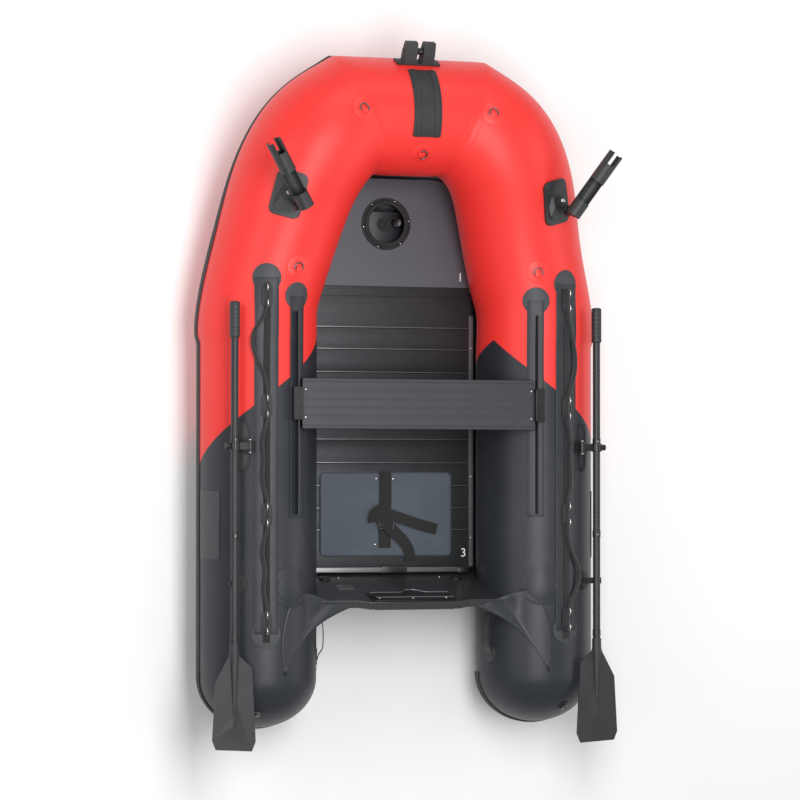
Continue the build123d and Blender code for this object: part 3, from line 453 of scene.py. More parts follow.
def skinAbove(x, y):
    return tubeTree.ray_cast(Vector((x, y, 0.9)), Vector((0, 0, -1)))[:2]


hull = {"sides": 96, "track": 0.545, "radius": 0.215, "coneLength": 0.185, "coneStart": -1.026, "sideEnd": 0.18,
        "bowY": 1.014, "bowHalf": 0.204, "bowHeight": 0.305}
stations = []      # centre and heading of each section, from the stern to the middle of the bow
for step in range(14):
    share = math.sin(math.radians(88.5 * (1 - step / 14)))
    stations.append((Vector((0.545, hull["coneStart"] - hull["coneLength"] * share, 0.215)), -90))
for step in range(49):
    stations.append((Vector((0.545, hull["coneStart"] + step * (hull["sideEnd"] - hull["coneStart"]) / 48, 0.215)), -90))
bend = interpolate_bezier((0.545, 0.18, 0.215), (0.545, 0.58, 0.215), (0.381, 0.837, 0.30), (0.204, 1.014, 0.305), 50)
for step, point in enumerate(bend[1:], 1):
    share = step / 49
    near = max(0, (share - 0.5) / 0.5)
    ahead = bend[min(step + 1, 49)] - bend[step - 1]
    heading = math.degrees(math.atan2(-ahead.y, -ahead.x))
    near = near * near * (3 - 2 * near)
    stations.append((point, heading * (1 - near) - 22.5 * near))
for step in range(1, 11):
    stations.append((Vector((0.204 * (1 - step / 10), 1.014, 0.305)), -22.5 * (1 - step / 10)))


def outboardAt(heading):
    return Vector((-math.sin(math.radians(heading)), math.cos(math.radians(heading)), 0))


def buildHull():
    bm = bmesh.new()
    uvLayer = bm.loops.layers.uv.new("surface")
    alongLayer = bm.verts.layers.float.new("along")
    aroundLayer = bm.verts.layers.float.new("around")
    loops = []
    travelled = 0
    for index, (centre, heading) in enumerate(stations):
        if index:
            travelled += (centre - stations[index - 1][0]).length
        ring = bmesh.ops.create_circle(bm, segments=hull["sides"], radius=0.1)["verts"]
        outboard = outboardAt(heading)
        for number, vert in enumerate(ring):
            angle = math.tau * number / hull["sides"]
            direction = outboard * math.sin(angle) + up * math.cos(angle)
            place, normal = skinPoint(centre, direction)
            offMitre = abs((place.x - 0.204) * 0.9239 - (place.y - 1.014) * 0.3827)
            offCone = abs(place.y - hull["coneStart"])
            sink = 0.0016 * math.exp(-(offMitre / 0.012) ** 2) + 0.0012 * math.exp(-(offCone / 0.01) ** 2)
            inner = max(0, -math.sin(angle)) ** 2
            sink += 0.0012 * inner * math.cos(12 * angle) * math.exp(-(offMitre / 0.045) ** 2)
            vert.co = place - direction * (sink + 0.0004)
            vert[alongLayer] = travelled
            vert[aroundLayer] = angle * hull["radius"]
        loops.append([e for e in bm.edges if e.verts[0] in set(ring) and e.verts[1] in set(ring)] if index == 0 else
                     list({e for v in ring for e in v.link_edges}))
    for before, after in zip(loops, loops[1:]):
        bmesh.ops.bridge_loops(bm, edges=before + after)
    tip = bmesh.ops.edgeloop_fill(bm, edges=loops[0])["faces"]
    bmesh.ops.poke(bm, faces=tip)
    girth = math.tau * hull["radius"]
    for face in bm.faces:
        turns = [loop.vert[aroundLayer] for loop in face.loops]
        for loop, around in zip(face.loops, turns):
            if max(turns) - around > girth / 2:
                around += girth
            loop[uvLayer].uv = (loop.vert[alongLayer], around)
    mirrorShape(bm)
    bmesh.ops.remove_doubles(bm, verts=bm.verts, dist=0.0003)
    bmesh.ops.recalc_face_normals(bm, faces=bm.faces)
    return newPiece("air_tubes", bm, hullCloth, sharp=60, replaced=tubeNodes)


buildHull()
print("air tubes built")


# Grab ropes: routes over the tubes, the same points as in the solid model
rope = {"diameter": 0.013, "sides": 14, "steps": 28, "strands": 4, "pitch": 0.026, "relief": 0.0007}
ropeRoutes = {
    "starboard": [
        (.584, .393, .446), (.584, .297, .445), (.604, .226, .436), (.624, .140, .432), (.616, .060, .435),
        (.584, -.003, .443), (.584, -.099, .443), (.601, -.170, .437), (.596, -.246, .438), (.603, -.322, .437),
        (.584, -.392, .443), (.584, -.488, .443), (.592, -.561, .439), (.640, -.634, .426), (.634, -.710, .429),
        (.584, -.778, .443), (.584, -.866, .442)],
    "port": [
        (-.584, .393, .446), (-.584, .284, .445), (-.640, .216, .426), (-.636, .140, .429), (-.597, .070, .438),
        (-.584, -.003, .443), (-.584, -.099, .443), (-.606, -.170, .436), (-.599, -.246, .438), (-.605, -.322, .437),
        (-.584, -.392, .443), (-.584, -.488, .443), (-.607, -.564, .436), (-.590, -.638, .440), (-.601, -.708, .438),
        (-.584, -.778, .443), (-.584, -.866, .442)],
}


def buildRope(sideName, route):
    thin = wire(route, 0, steps=rope["steps"])
    path = [v.co.copy() for v in thin.vertices]
    mesh = wire(route, rope["diameter"] / 2 - rope["relief"], sides=rope["sides"], steps=rope["steps"])
    bm = bmesh.new()
    bm.from_mesh(mesh)
    bm.verts.ensure_lookup_table()
    ringSize = len(bm.verts) // len(path)
    bm.normal_update()
    travelled = 0
    for ring, centre in enumerate(path):
        if ring:
            travelled += (centre - path[ring - 1]).length
        for number in range(ringSize):
            vert = bm.verts[ring * ringSize + number]
            angle = math.tau * number / ringSize
            turn = math.tau * travelled / rope["pitch"]
            lift = max(math.cos(rope["strands"] * angle + turn), math.cos(rope["strands"] * angle - turn))
            vert.co += (vert.co - centre).normalized() * rope["relief"] * lift
    piece = newPiece("grab_rope_braid_" + sideName, bm, ropeBraid, sharp=80,
                     replaced=("grab_rope_" + sideName,))


for sideName, route in ropeRoutes.items():
    buildRope(sideName, route)


# Patches and strips glued on the tubes
def layDown(bm, lift=0.0004):
    # drops a flat shape on the tubes, straight down
    for vert in bm.verts:
        place, normal = skinAbove(vert.co.x, vert.co.y)
        vert.co = place + normal * (lift + vert.co.z)


def disc(radius, rings=4, steps=48):
    bm = bmesh.new()
    bmesh.ops.create_circle(bm, cap_ends=True, segments=steps, radius=radius)
    for ring in range(rings):
        middle = max(bm.faces, key=lambda f: len(f.verts))
        bmesh.ops.inset_region(bm, faces=[middle], thickness=radius / (rings + 1))
    bmesh.ops.poke(bm, faces=[max(bm.faces, key=lambda f: len(f.verts))])
    return bm


def strip(x0, x1, y0, y1, step=0.02):
    bm = bmesh.new()
    across = max(2, round(abs(x1 - x0) / 0.012))
    lengthwise = max(2, round(abs(y1 - y0) / step))
    matrix = Matrix.Translation(((x0 + x1) / 2, (y0 + y1) / 2, 0)) @ Matrix.Diagonal((x1 - x0, y1 - y0, 1, 1))
    bmesh.ops.create_grid(bm, x_segments=across, y_segments=lengthwise, size=0.5, matrix=matrix)
    return bm


def glued(name, shapes, material, replaced=(), thickness=0.0016, edge=0.0005):
    bm = bmesh.new()
    for shape in shapes:
        addShape(bm, shape)
    mirrorShape(bm)
    bmesh.ops.recalc_face_normals(bm, faces=bm.faces)
    if sum(f.normal.z for f in bm.faces) < 0:
        bmesh.ops.reverse_faces(bm, faces=bm.faces)
    piece = newPiece(name, bm, material, replaced=replaced)
    addModifier(piece, "SOLIDIFY", thickness=thickness, offset=1.0)
    addModifier(piece, "BEVEL", width=edge, segments=2, limit_method="ANGLE", angle_limit=math.radians(50))
    return piece


def roundPatch(place, normal, radius, lift=0.0004):
    # a disc laid on the tubes along its own normal
    matrix = frameAt(place, normal)
    bm = disc(radius)
    for vert in bm.verts:
        start = matrix @ vert.co + Vector(normal) * 0.06
        found, skinNormal = tubeTree.ray_cast(start, -Vector(normal))[:2]
        vert.co = found + skinNormal * lift
    return bm


ropeStrip = {"x": 0.584, "half": 0.0425, "front": 0.409, "back": -0.866, "round": 0.052, "webHalf": 0.012}
shapes = []
for y in (ropeStrip["front"], ropeStrip["back"]):
    place, normal = skinAbove(ropeStrip["x"], y)
    shapes.append(roundPatch(place, normal, ropeStrip["round"]))
glued("rope_strip_rounds", shapes, patchCloth, ("rope_strips",), 0.0014)
long = strip(ropeStrip["x"] - ropeStrip["half"], ropeStrip["x"] + ropeStrip["half"], ropeStrip["back"], ropeStrip["front"])
layDown(long, 0.0016)
glued("rope_strip_bands", [long], darkCloth, (), 0.0016)
web = strip(ropeStrip["x"] - 0.012, ropeStrip["x"] + 0.012, ropeStrip["back"] - 0.03, ropeStrip["front"] - 0.02, 0.012)
for vert in web.verts:     # the tape stands a little proud between the rings
    vert.co.z = 0.0015 * math.sin(vert.co.y * 47) ** 2
layDown(web, 0.0034)
glued("rope_strip_webbing", [web], webbing, (), 0.0018)

track = {"x": 0.467, "half": 0.0285, "front": 0.345, "back": -0.449, "round": 0.050, "railTop": 0.445, "railFront": 0.29}
place, normal = skinAbove(track["x"], track["front"])
glued("track_rounds", [roundPatch(place, normal, track["round"])], patchCloth, ("seat_tracks",), 0.0014)
band = strip(track["x"] - track["half"], track["x"] + track["half"], track["back"], track["front"])
layDown(band, 0.0016)
glued("track_bands", [band], darkCloth, (), 0.0016)

# Standing rails of the seat tracks, a flap with a round bead
railBase = skinAbove(track["x"], 0)[0].z
railProfile = [(-0.0035, 0, 0), (-0.0016, 0, 0.006), (-0.0014, 0, 0.018)]
beadHeight = track["railTop"] - railBase - 0.0035
railProfile += [(0.0035 * math.cos(a), 0, beadHeight + 0.0035 * math.sin(a)) for a in [math.radians(220 - 32 * i) for i in range(9)]]
railProfile += [(0.0014, 0, 0.018), (0.0016, 0, 0.006), (0.0035, 0, 0)]
bm = bmesh.new()
span = [track["back"] + 0.01 + (track["railFront"] - track["back"] - 0.01) * i / 30 for i in range(31)]
rows = [Matrix.Translation((track["x"], y, railBase)) for y in span]
ends = loftLoops(bm, railProfile, rows)
for loop in (ends[0], ends[-1]):
    bmesh.ops.edgeloop_fill(bm, edges=loop)
bmesh.ops.recalc_face_normals(bm, faces=bm.faces)
mirrorShape(bm)
newPiece("track_rails", bm, darkCloth, sharp=50)
print("strips laid")

# Rope ring groups: rubber pad, raised bridge and two steel rings
ringGroup = {"ys": (0.345, -0.051, -0.440, -0.826), "gap": 0.0285, "ring": 0.014, "wire": 0.0025}
ringMesh = wire([(0.014 * math.cos(a), 0, 0.014 * math.sin(a)) for a in [math.tau * i / 12 for i in range(12)]],
                ringGroup["wire"], closed=True)
pads, rings = bmesh.new(), bmesh.new()
for y in ringGroup["ys"]:
    place, normal = skinAbove(ropeStrip["x"], y)
    place = place + normal * 0.0048
    base = plate(roundedOutline(0.088, 0.040, 0.019), 0.0035, 0.0012)
    addShape(pads, base, frameAt(place, normal))
    addShape(pads, plate(roundedOutline(0.066, 0.024, 0.011), 0.0065, 0.0020), frameAt(place, normal))
    for end in (-1, 1):
        spot, tilt = skinAbove(ropeStrip["x"], y + end * ringGroup["gap"])
        addShape(rings, ringMesh, frameAt(spot + tilt * 0.016, tilt))
        foot = block((0.007, 0.020, 0.007), 0.002)
        addShape(pads, foot, frameAt(spot + tilt * 0.0105, tilt))
for bm in (pads, rings):
    mirrorShape(bm)
newPiece("rope_ring_pads", pads, softRubber)
newPiece("rope_steel_rings", rings, steel, sharp=80, replaced=("rope_rings",))

# D rings: patch, webbing square and wire D
dPlaces = [("red", (0.252, 1.019), 0.042, 0.017), ("red", (0.468, 0.449), 0.042, 0.017)]


def dRingShapes(place, normal, size, turn=0):
    outline = [(size * math.cos(a), size * math.sin(a), 0) for a in [math.pi * i / 8 for i in range(9)]]
    outline = [(0, 0, 0)] and outline + [(-size, -0.006, 0), (-size * 0.5, -0.007, 0), (size * 0.5, -0.007, 0), (size, -0.006, 0)]
    return wire(outline, 0.0024, closed=True), frameAt(place + normal * 0.0062, normal) @ Matrix.Rotation(turn, 4, "Z")


redPatches, redTops, dWires, dLoops = [], [], bmesh.new(), bmesh.new()
for kind, (x, y), radius, size in dPlaces:
    place, normal = skinAbove(x, y)
    redPatches.append(roundPatch(place, normal, radius))
    redTops.append(roundPatch(place, normal, radius * 0.55, 0.0018))
    mesh, matrix = dRingShapes(place, normal, size, math.radians(-90))
    addShape(dWires, mesh, matrix)
    addShape(dLoops, block((0.022, 0.020, 0.007), 0.0018), matrix @ Matrix.Translation((0, -0.008, 0)))
for bm in (dWires, dLoops):
    mirrorShape(bm)
centreAngle = math.radians(-43)
centreNormal = Vector((0, math.sin(centreAngle), math.cos(centreAngle)))
place, normal = skinPoint((0, 1.014, 0.305), centreNormal)
mesh, matrix = dRingShapes(place, centreNormal, 0.017, math.radians(180))
addShape(dWires, mesh, matrix)
addShape(dLoops, block((0.022, 0.020, 0.007), 0.0018), matrix @ Matrix.Translation((0, -0.008, 0)))
half = roundPatch(place, centreNormal, 0.042)
bmesh.ops.bisect_plane(half, geom=half.verts[:] + half.edges[:] + half.faces[:], plane_co=(0, 0, 0), plane_no=(1, 0, 0),
                       clear_inner=True)
redPatches.append(half)
glued("dring_patches", redPatches, redCloth, ("bow_drings", "side_drings"), 0.0014)
glued("dring_patch_tops", redTops, redCloth, (), 0.0012)
newPiece("dring_wires", dWires, darkSteel, sharp=80)
newPiece("dring_loops", dLoops, redCloth)

# Stern D rings on the cones
sternPlace, sternNormal = skinPoint((0.545, -1.110, 0.215), (math.sin(math.radians(20)), -0.25, math.cos(math.radians(20))))
glued("stern_dring_patches", [roundPatch(sternPlace, sternNormal, 0.024)], darkCloth, ("stern_drings",), 0.0014)
bm = bmesh.new()
mesh, matrix = dRingShapes(sternPlace, sternNormal, 0.012, math.radians(180))
addShape(bm, mesh, matrix)
addShape(bm, block((0.018, 0.012, 0.007), 0.0015), matrix @ Matrix.Translation((0, -0.007, 0)))
mirrorShape(bm)
newPiece("stern_dring_wires", bm, darkSteel, sharp=80)
print("rings fitted")


# Rub strake: a grooved rubber profile round the whole hull
strake = {"angle": 102, "profile": [(-24, 0), (-24, 3), (-20, 6), (-14.5, 7.2), (-12.8, 5.6), (-10.2, 5.6), (-8.5, 8.2),
                                    (-4, 9), (4, 9), (8.5, 8.2), (10.2, 5.6), (12.8, 5.6), (14.5, 7.2), (20, 6), (24, 3), (24, 0)]}
strakeRubber = makeMaterial("strakeRubber", (0.018, 0.019, 0.021), 0.5, dust=0.2, patchScale=9, texture=mouldedGrain,
                            size=500, depth=0.00005)
tree = strakeRubber.node_tree
across = tree.nodes.new("ShaderNodeSeparateXYZ")
tree.links.new(tree.nodes.new("ShaderNodeTexCoord").outputs["UV"], across.inputs[0])
grooves = mathNode(tree, "SUBTRACT", mathNode(tree, "ABSOLUTE", across.outputs[1]), 0.0115)
redLine = placeGroup(tree, gluedTape, Distance=grooves, Half=0.0011, Soft=0.0003)["Height"]
rubberTone = next(n for n in tree.nodes if n.type == "GROUP" and n.node_tree == agedSurface).outputs["Colour"]
plug(tree, tree.nodes["Principled BSDF"].inputs["Base Color"], mixColour(tree, redLine, rubberTone, (0.62, 0.02, 0.03, 1)))


def buildStrake():
    angle = math.radians(strake["angle"])
    spots = []
    for centre, heading in reversed(stations[14:]):
        direction = outboardAt(heading) * math.sin(angle) + up * math.cos(angle)
        spots.append((skinPoint(centre, direction)[0], direction))
    for step in range(1, 37):
        turn = math.radians(5 * step)
        direction = Vector((math.cos(turn) * math.sin(angle), -math.sin(turn) * math.sin(angle), math.cos(angle)))
        spots.append((skinPoint((0.545, -1.0262, 0.215), direction)[0], direction))
    bm = bmesh.new()
    uvLayer = bm.loops.layers.uv.new("surface")
    widthLayer = bm.verts.layers.float.new("across")
    loops = []
    for index, (place, direction) in enumerate(spots):
        ahead = (spots[min(index + 1, len(spots) - 1)][0] - spots[max(index - 1, 0)][0]).normalized()
        if index == 0:
            ahead = Vector((1, 0, 0))
        across = ahead.cross(direction).normalized()
        outward = across.cross(ahead).normalized()
        verts = []
        for w, n in strake["profile"]:
            verts.append(bm.verts.new(place + across * w * 0.001 + outward * (n * 0.001 - 0.0006)))
            verts[-1][widthLayer] = w * 0.001
        loops.append([bm.edges.new(pair) for pair in zip(verts, verts[1:])])
    for before, after in zip(loops, loops[1:]):
        bmesh.ops.bridge_loops(bm, edges=before + after)
    for face in bm.faces:
        for loop in face.loops:
            loop[uvLayer].uv = (loop.vert.co.y, loop.vert[widthLayer])
    bmesh.ops.recalc_face_normals(bm, faces=bm.faces)
    mirrorShape(bm)
    bmesh.ops.remove_doubles(bm, verts=bm.verts, dist=0.0002)
    bmesh.ops.recalc_face_normals(bm, faces=bm.faces)
    return newPiece("rub_strake_profile", bm, strakeRubber, sharp=28,
                    replaced=("rub_strake_bow", "rub_strake_port", "rub_strake_starboard", "stern_strake_port",
                              "stern_strake_starboard"))


buildStrake()
print("rub strake built")

# Floor planks between the joints, with raised lips along the joints whose pale metal colour is a painted edge highlight
floor = {"top": 0.095, "half": 0.345, "thick": 0.014, "joints": (-0.637, -0.502, -0.421, -0.338, -0.253, -0.166, -0.083, 0.0,
                                                               0.083, 0.169, 0.250, 0.386)}
planks, lips = bmesh.new(), bmesh.new()
for back, front in zip(floor["joints"], floor["joints"][1:]):
    middle = (back + front) / 2
    matrix = Matrix.Translation((0, middle, floor["top"] - floor["thick"] / 2))
    addShape(planks, block((2 * floor["half"], front - back - 0.0008, floor["thick"]), 0.0016), matrix)
    for shift in (-0.022, 0.022):      # two shallow ribs along each plank
        rib = Matrix.Translation((0, middle + shift, floor["top"] - 0.0002))
        addShape(planks, block((2 * floor["half"] - 0.004, 0.0022, 0.0010), 0.0003), rib)
# raised lips on the joints, their pale metal a painted highlight along each joint edge
for y in floor["joints"][1:-1]:
    addShape(lips, block((2 * floor["half"] - 0.03, 0.0034, 0.0016), 0.0005), Matrix.Translation((0, y + 0.003, floor["top"] + 0.0004)))
newPiece("floor_planks", planks, floorMetal, replaced=("floor_panel_aft", "floor_panel_middle"))
newPiece("floor_plank_highlight_lips", lips, paleMetalAndHighlight)
bar = bmesh.new()
addShape(bar, block((0.662, 0.038, 0.003), 0.0008), Matrix.Translation((0, 0.386, floor["top"] + 0.0015)))
for shift in (-0.015, -0.005, 0.005, 0.015):
    addShape(bar, block((0.660, 0.004, 0.003), 0.0012), Matrix.Translation((0, 0.386 + shift, floor["top"] + 0.0032)))
newPiece("floor_joint_ribs", bar, floorMetal, replaced=("floor_joint_bar",))
refined("floor_panel_bow", bowFloorMetal, edge=0.0015)
refined("floor_stringers", paleMetalAndHighlight, edge=0.0008)

# Hatch with its screws, seal and hanging cap
refined("hatch_ring", blackPlastic, edge=0.0009)
refined("keel_valve", blackPlastic, edge=0.0009)
dome = lathe([(0, 0.0022), (0.0018, 0.0019), (0.0032, 0.0010), (0.0037, 0), (0.0037, -0.0015)], 16)
screws, capShape = bmesh.new(), bmesh.new()
for step in range(6):
    turn = math.radians(60 * step + 8)
    addShape(screws, dome, Matrix.Translation((0.091 * math.cos(turn), 0.637 + 0.091 * math.sin(turn), 0.0992)))
for x, y in ((-0.040, -0.309), (0.027, -0.310), (-0.045, -0.553)):
    addShape(screws, dome, Matrix.Translation((x, y, 0.1025)) @ Matrix.Diagonal((1.3, 1.3, 1, 1)))
for y in (-0.53, -0.30, -0.05, 0.18):
    for x in (-0.3405, 0.3405):
        addShape(screws, dome, Matrix.Translation((x, y, 0.0985)))
newPiece("floor_screws", screws, steel)
addShape(capShape, lathe([(0, 0.010), (0.016, 0.010), (0.019, 0.008), (0.020, 0.002), (0.017, 0), (0, 0)]),
         frameAt((0.050, 0.645, 0.078), (-0.6, 0.1, 1)))
addShape(capShape, wire([(0.022, 0.652, 0.0825), (0.030, 0.664, 0.087), (0.042, 0.660, 0.088), (0.050, 0.650, 0.086)], 0.0022))
newPiece("hatch_valve_cap", capShape, blackPlastic)

# Numbers on the floor for putting the panels together
for label, x, y in (("1", 0.287, 0.430), ("3", 0.300, -0.600)):
    text = bpy.data.curves.new("number" + label, "FONT")
    text.body = label
    text.size = 0.045
    text.extrude = 0.0003
    holder = bpy.data.objects.new("number" + label, text)
    mesh = bpy.data.meshes.new_from_object(holder)
    bpy.data.objects.remove(holder)
    bm = bmesh.new()
    addShape(bm, mesh, Matrix.Translation((x, y, floor["top"] + 0.0003)))
    newPiece("panel_number_" + label, bm, paintWhite)
print("floor laid")

# Keel tube and hull bottom in cloth
for node, cloth in (("keel_tube", darkCloth), ("hull_bottom", darkCloth)):
    bm = bmesh.new()
    bm.from_mesh(nodes[node].data)
    bmesh.ops.remove_doubles(bm, verts=bm.verts, dist=0.0001)
    piece = newPiece(node + ".cloth", bm, cloth, sharp=40, replaced=(node,))

# Tank pad: soft foam with slack creases, and its strap
pad = {"width": 0.525, "length": 0.314, "y": -0.442, "corner": 0.024, "thick": 0.0055}
bm = plate(roundedOutline(pad["width"], pad["length"], pad["corner"], 8), pad["thick"], 0)
top = max(bm.faces, key=lambda f: f.calc_center_median().z)
bmesh.ops.inset_region(bm, faces=[top], thickness=0.004)
bmesh.ops.delete(bm, geom=[top], context="FACES_ONLY")
bm.free()
bm = bmesh.new()
matrix = Matrix.Diagonal((pad["width"], pad["length"], 1, 1))
bmesh.ops.create_grid(bm, x_segments=90, y_segments=54, size=0.5, matrix=matrix)
for vert in bm.verts:
    x, y = vert.co.x, vert.co.y
    halfX, halfY, r = pad["width"] / 2, pad["length"] / 2, pad["corner"]
    ox, oy = max(abs(x) - halfX + r, 0), max(abs(y) - halfY + r, 0)
    over = math.hypot(ox, oy)
    if over > 0 and ox > 0 and oy > 0:     # rounds the corners
        reach = max(ox, oy)
        x = math.copysign(halfX - r + ox * reach / over, x)
        y = math.copysign(halfY - r + oy * reach / over, y)
    rim = min(halfX - abs(x), halfY - abs(y))
    crown = pad["thick"] * min(1, (max(rim, 0) / 0.006) ** 0.5) if rim < 0.006 else pad["thick"]
    crease = 0.0032 * math.exp(-((y - 0.045 - 0.20 * (x + 0.05)) / 0.022) ** 2) * math.exp(-((x - 0.02) / 0.17) ** 2)
    crease -= 0.0016 * math.exp(-((y - 0.085 - 0.22 * (x - 0.1)) / 0.02) ** 2) * math.exp(-((x - 0.1) / 0.12) ** 2)
    soft = 0.0008 * noise.noise(Vector((x * 9, y * 9, 3.1)))
    vert.co = (x, y + pad["y"], floor["top"] + 0.0006 + max(crown + (crease + soft) * min(1, max(rim, 0) / 0.03), 0))
padPiece = newPiece("tank_pad_foam", bm, padFoam, sharp=80, replaced=("tank_pad",))
addModifier(padPiece, "SOLIDIFY", thickness=0.0006, offset=-1.0)


def ribbon(points, width, thickness=0.0018, normals=None, ends=True):
    # a flat tape along smooth points, lying on its side normals
    path = [v.co.copy() for v in wire(points, 0, steps=7).vertices]
    profile = [(-width / 2, 0), (-width / 2, thickness), (0, thickness * 1.2), (width / 2, thickness), (width / 2, 0)]
    bm = bmesh.new()
    frames = []
    for index, place in enumerate(path):
        ahead = (path[min(index + 1, len(path) - 1)] - path[max(index - 1, 0)]).normalized()
        normal = Vector(normals(index / (len(path) - 1))) if normals else up
        across = ahead.cross(normal).normalized()
        normal = across.cross(ahead)
        turned = Matrix((across, normal, -ahead)).transposed().to_4x4()
        turned.translation = place
        frames.append(turned)
    loops = loftLoops(bm, [(x, y, 0) for x, y in profile], frames)
    for loop in (loops[0], loops[-1]):
        bmesh.ops.edgeloop_fill(bm, edges=loop)
    bmesh.ops.recalc_face_normals(bm, faces=bm.faces)
    return bm


z = floor["top"] + 0.0068
strap = bmesh.new()
addShape(strap, ribbon([(-0.006, -0.283, z), (-0.005, -0.32, z + 0.001), (-0.005, -0.37, z + 0.003), (-0.008, -0.42, z + 0.005),
                        (-0.01, -0.455, z + 0.006)], 0.048))
addShape(strap, ribbon([(-0.008, -0.43, z + 0.004), (-0.008, -0.49, z + 0.003), (-0.007, -0.53, z), (-0.007, -0.566, z)], 0.048))
addShape(strap, ribbon([(-0.030, -0.430, z + 0.007), (0.010, -0.442, z + 0.012), (0.05, -0.455, z + 0.009), (0.11, -0.474, z + 0.005),
                        (0.155, -0.487, z + 0.006), (0.198, -0.497, z + 0.004)], 0.040))
addShape(strap, ribbon([(-0.035, -0.450, z + 0.008), (0.004, -0.484, z + 0.013), (0.040, -0.518, z + 0.008), (0.075, -0.550, z + 0.003),
                        (0.090, -0.582, z + 0.001), (0.098, -0.612, z - 0.003)], 0.044))
addShape(strap, ribbon([(-0.052, -0.468, z + 0.004), (-0.058, -0.448, z + 0.010), (-0.030, -0.425, z + 0.013), (0.012, -0.414, z + 0.010)],
                       0.044))
newPiece("tank_strap_webbing", strap, webbing, replaced=("tank_strap",))
buckle = bmesh.new()
for y in (-0.478, -0.486, -0.494):
    addShape(buckle, block((0.052, 0.004, 0.005), 0.0012), Matrix.Translation((-0.004, y, z + 0.012)))
for x in (-0.032, 0.024):
    addShape(buckle, block((0.005, 0.036, 0.007), 0.0015), Matrix.Translation((x, -0.484, z + 0.010)))
newPiece("tank_strap_buckle", buckle, blackPlastic)
print("tank pad and strap made")

# Transom with its channel bar, clamp plates, blank label and bolts
rake = math.radians(17)
boardUp = Vector((0, -math.sin(rake), math.cos(rake)))
boardOut = Vector((0, math.cos(rake), math.sin(rake)))


def onBoard(x, z, lift=0.0):
    # matrix on the transom's inner face, local Z forward, at a height above the floor line
    origin = Vector((x, -0.663, 0.095)) + boardUp * ((z - 0.095) / math.cos(rake)) + boardOut * lift
    turned = Matrix((Vector((1, 0, 0)), boardUp, -boardOut * -1)).transposed().to_4x4()
    turned.translation = origin
    return turned


refined("transom_board", transomPaint, edge=0.003, segments=3)
refined("transom_plates", blackPlastic, edge=0.0012)
trim = bmesh.new()
addShape(trim, block((0.655, 0.020, 0.012), 0.0025), Matrix.Translation((0, -0.647, 0.101)))
newPiece("transom_channel", trim, paleMetalAndHighlight)
clips = bmesh.new()
addShape(clips, block((0.10, 0.026, 0.016), 0.003), Matrix.Translation((0.03, -0.646, 0.102)))
addShape(clips, block((0.05, 0.022, 0.020), 0.004), Matrix.Translation((0.305, -0.650, 0.104)))
newPiece("transom_channel_clips", clips, blackPlastic)
lip = bmesh.new()
outline = [(-0.150, 0.010), (-0.150, 0.060), (0.150, 0.060), (0.150, 0.010), (0.062, 0.008), (0.050, -0.002), (0.034, -0.016),
           (0.012, -0.020), (-0.010, -0.016), (-0.026, -0.002), (-0.038, 0.008)]
ridge = [onBoard(x + 0.01, 0.305 + y, 0.0058).translation for x, y in outline]
addShape(lip, wire([tuple(p) for p in ridge], 0.0022, closed=True, smooth=False))
newPiece("clamp_plate_ridge", lip, paleMetalAndHighlight)
label = bmesh.new()
addShape(label, block((0.066, 0.052, 0.0012), 0.0004), onBoard(-0.215, 0.24, 0.0008))
newPiece("transom_label_blank", label, paleMetalAndHighlight)
bolts = bmesh.new()
for x, zed, size in ((-0.402, 0.358, 1.8), (0.402, 0.358, 1.8), (-0.14, 0.31, 1), (0.14, 0.31, 1), (-0.13, 0.37, 1), (0.13, 0.37, 1),
                     (0, 0.372, 1), (-0.20, 0.13, 1.2), (0.20, 0.13, 1.2)):
    addShape(bolts, dome, onBoard(x, zed, 0.0045 if size == 1 else 0.0008) @ Matrix.Scale(size, 4))
newPiece("transom_bolts", bolts, steel)
drain = bmesh.new()
for x in (-0.26, 0.26):
    addShape(drain, lathe([(0, 0.006), (0.012, 0.006), (0.014, 0.004), (0.022, 0.004), (0.024, 0.002), (0.024, 0)]), onBoard(x, 0.145, 0.0005))
newPiece("transom_drain_plugs", drain, blackPlastic)
print("transom trimmed")


# Cloth webs from the transom's corners down to the tubes
def buildWebs():
    inner, corner, tail = Vector((0.245, -0.776, 0.376)), Vector((0.470, -0.700, 0.404)), Vector((0.512, -1.015, 0.431))
    bm = bmesh.new()
    count = 22
    rows = []
    for i in range(count + 1):
        s = i / count
        left = inner.lerp(tail, s)
        sag = Vector((0.030 * math.sin(math.pi * s), 0.030 * math.sin(math.pi * s), -0.004 * math.sin(math.pi * s)))
        left = left + sag
        right = corner.lerp(tail + Vector((0.004, 0, 0)), s) + Vector((0.030 * math.sin(math.pi * s), 0, 0))
        row = []
        for j in range(15):
            t = j / 14
            place = left.lerp(right, t)
            place.z -= 0.014 * math.sin(math.pi * t) * math.sin(math.pi * min(1, s + 0.15)) + 0.002 * math.sin(t * 21 + s * 7)
            found, normal = skinAbove(place.x, place.y) if abs(place.x) > 0.332 else (None, None)
            if found and place.z < found.z + 0.0012:
                place.z = found.z + 0.0012
            row.append(bm.verts.new(place))
        rows.append([bm.edges.new(pair) for pair in zip(row, row[1:])])
    for before, after in zip(rows, rows[1:]):
        bmesh.ops.bridge_loops(bm, edges=before + after)
    bmesh.ops.recalc_face_normals(bm, faces=bm.faces)
    area = sum(f.calc_area() for f in bm.faces)
    if sum(f.normal.z for f in bm.faces) < 0:
        bmesh.ops.reverse_faces(bm, faces=bm.faces)
    return bm, area


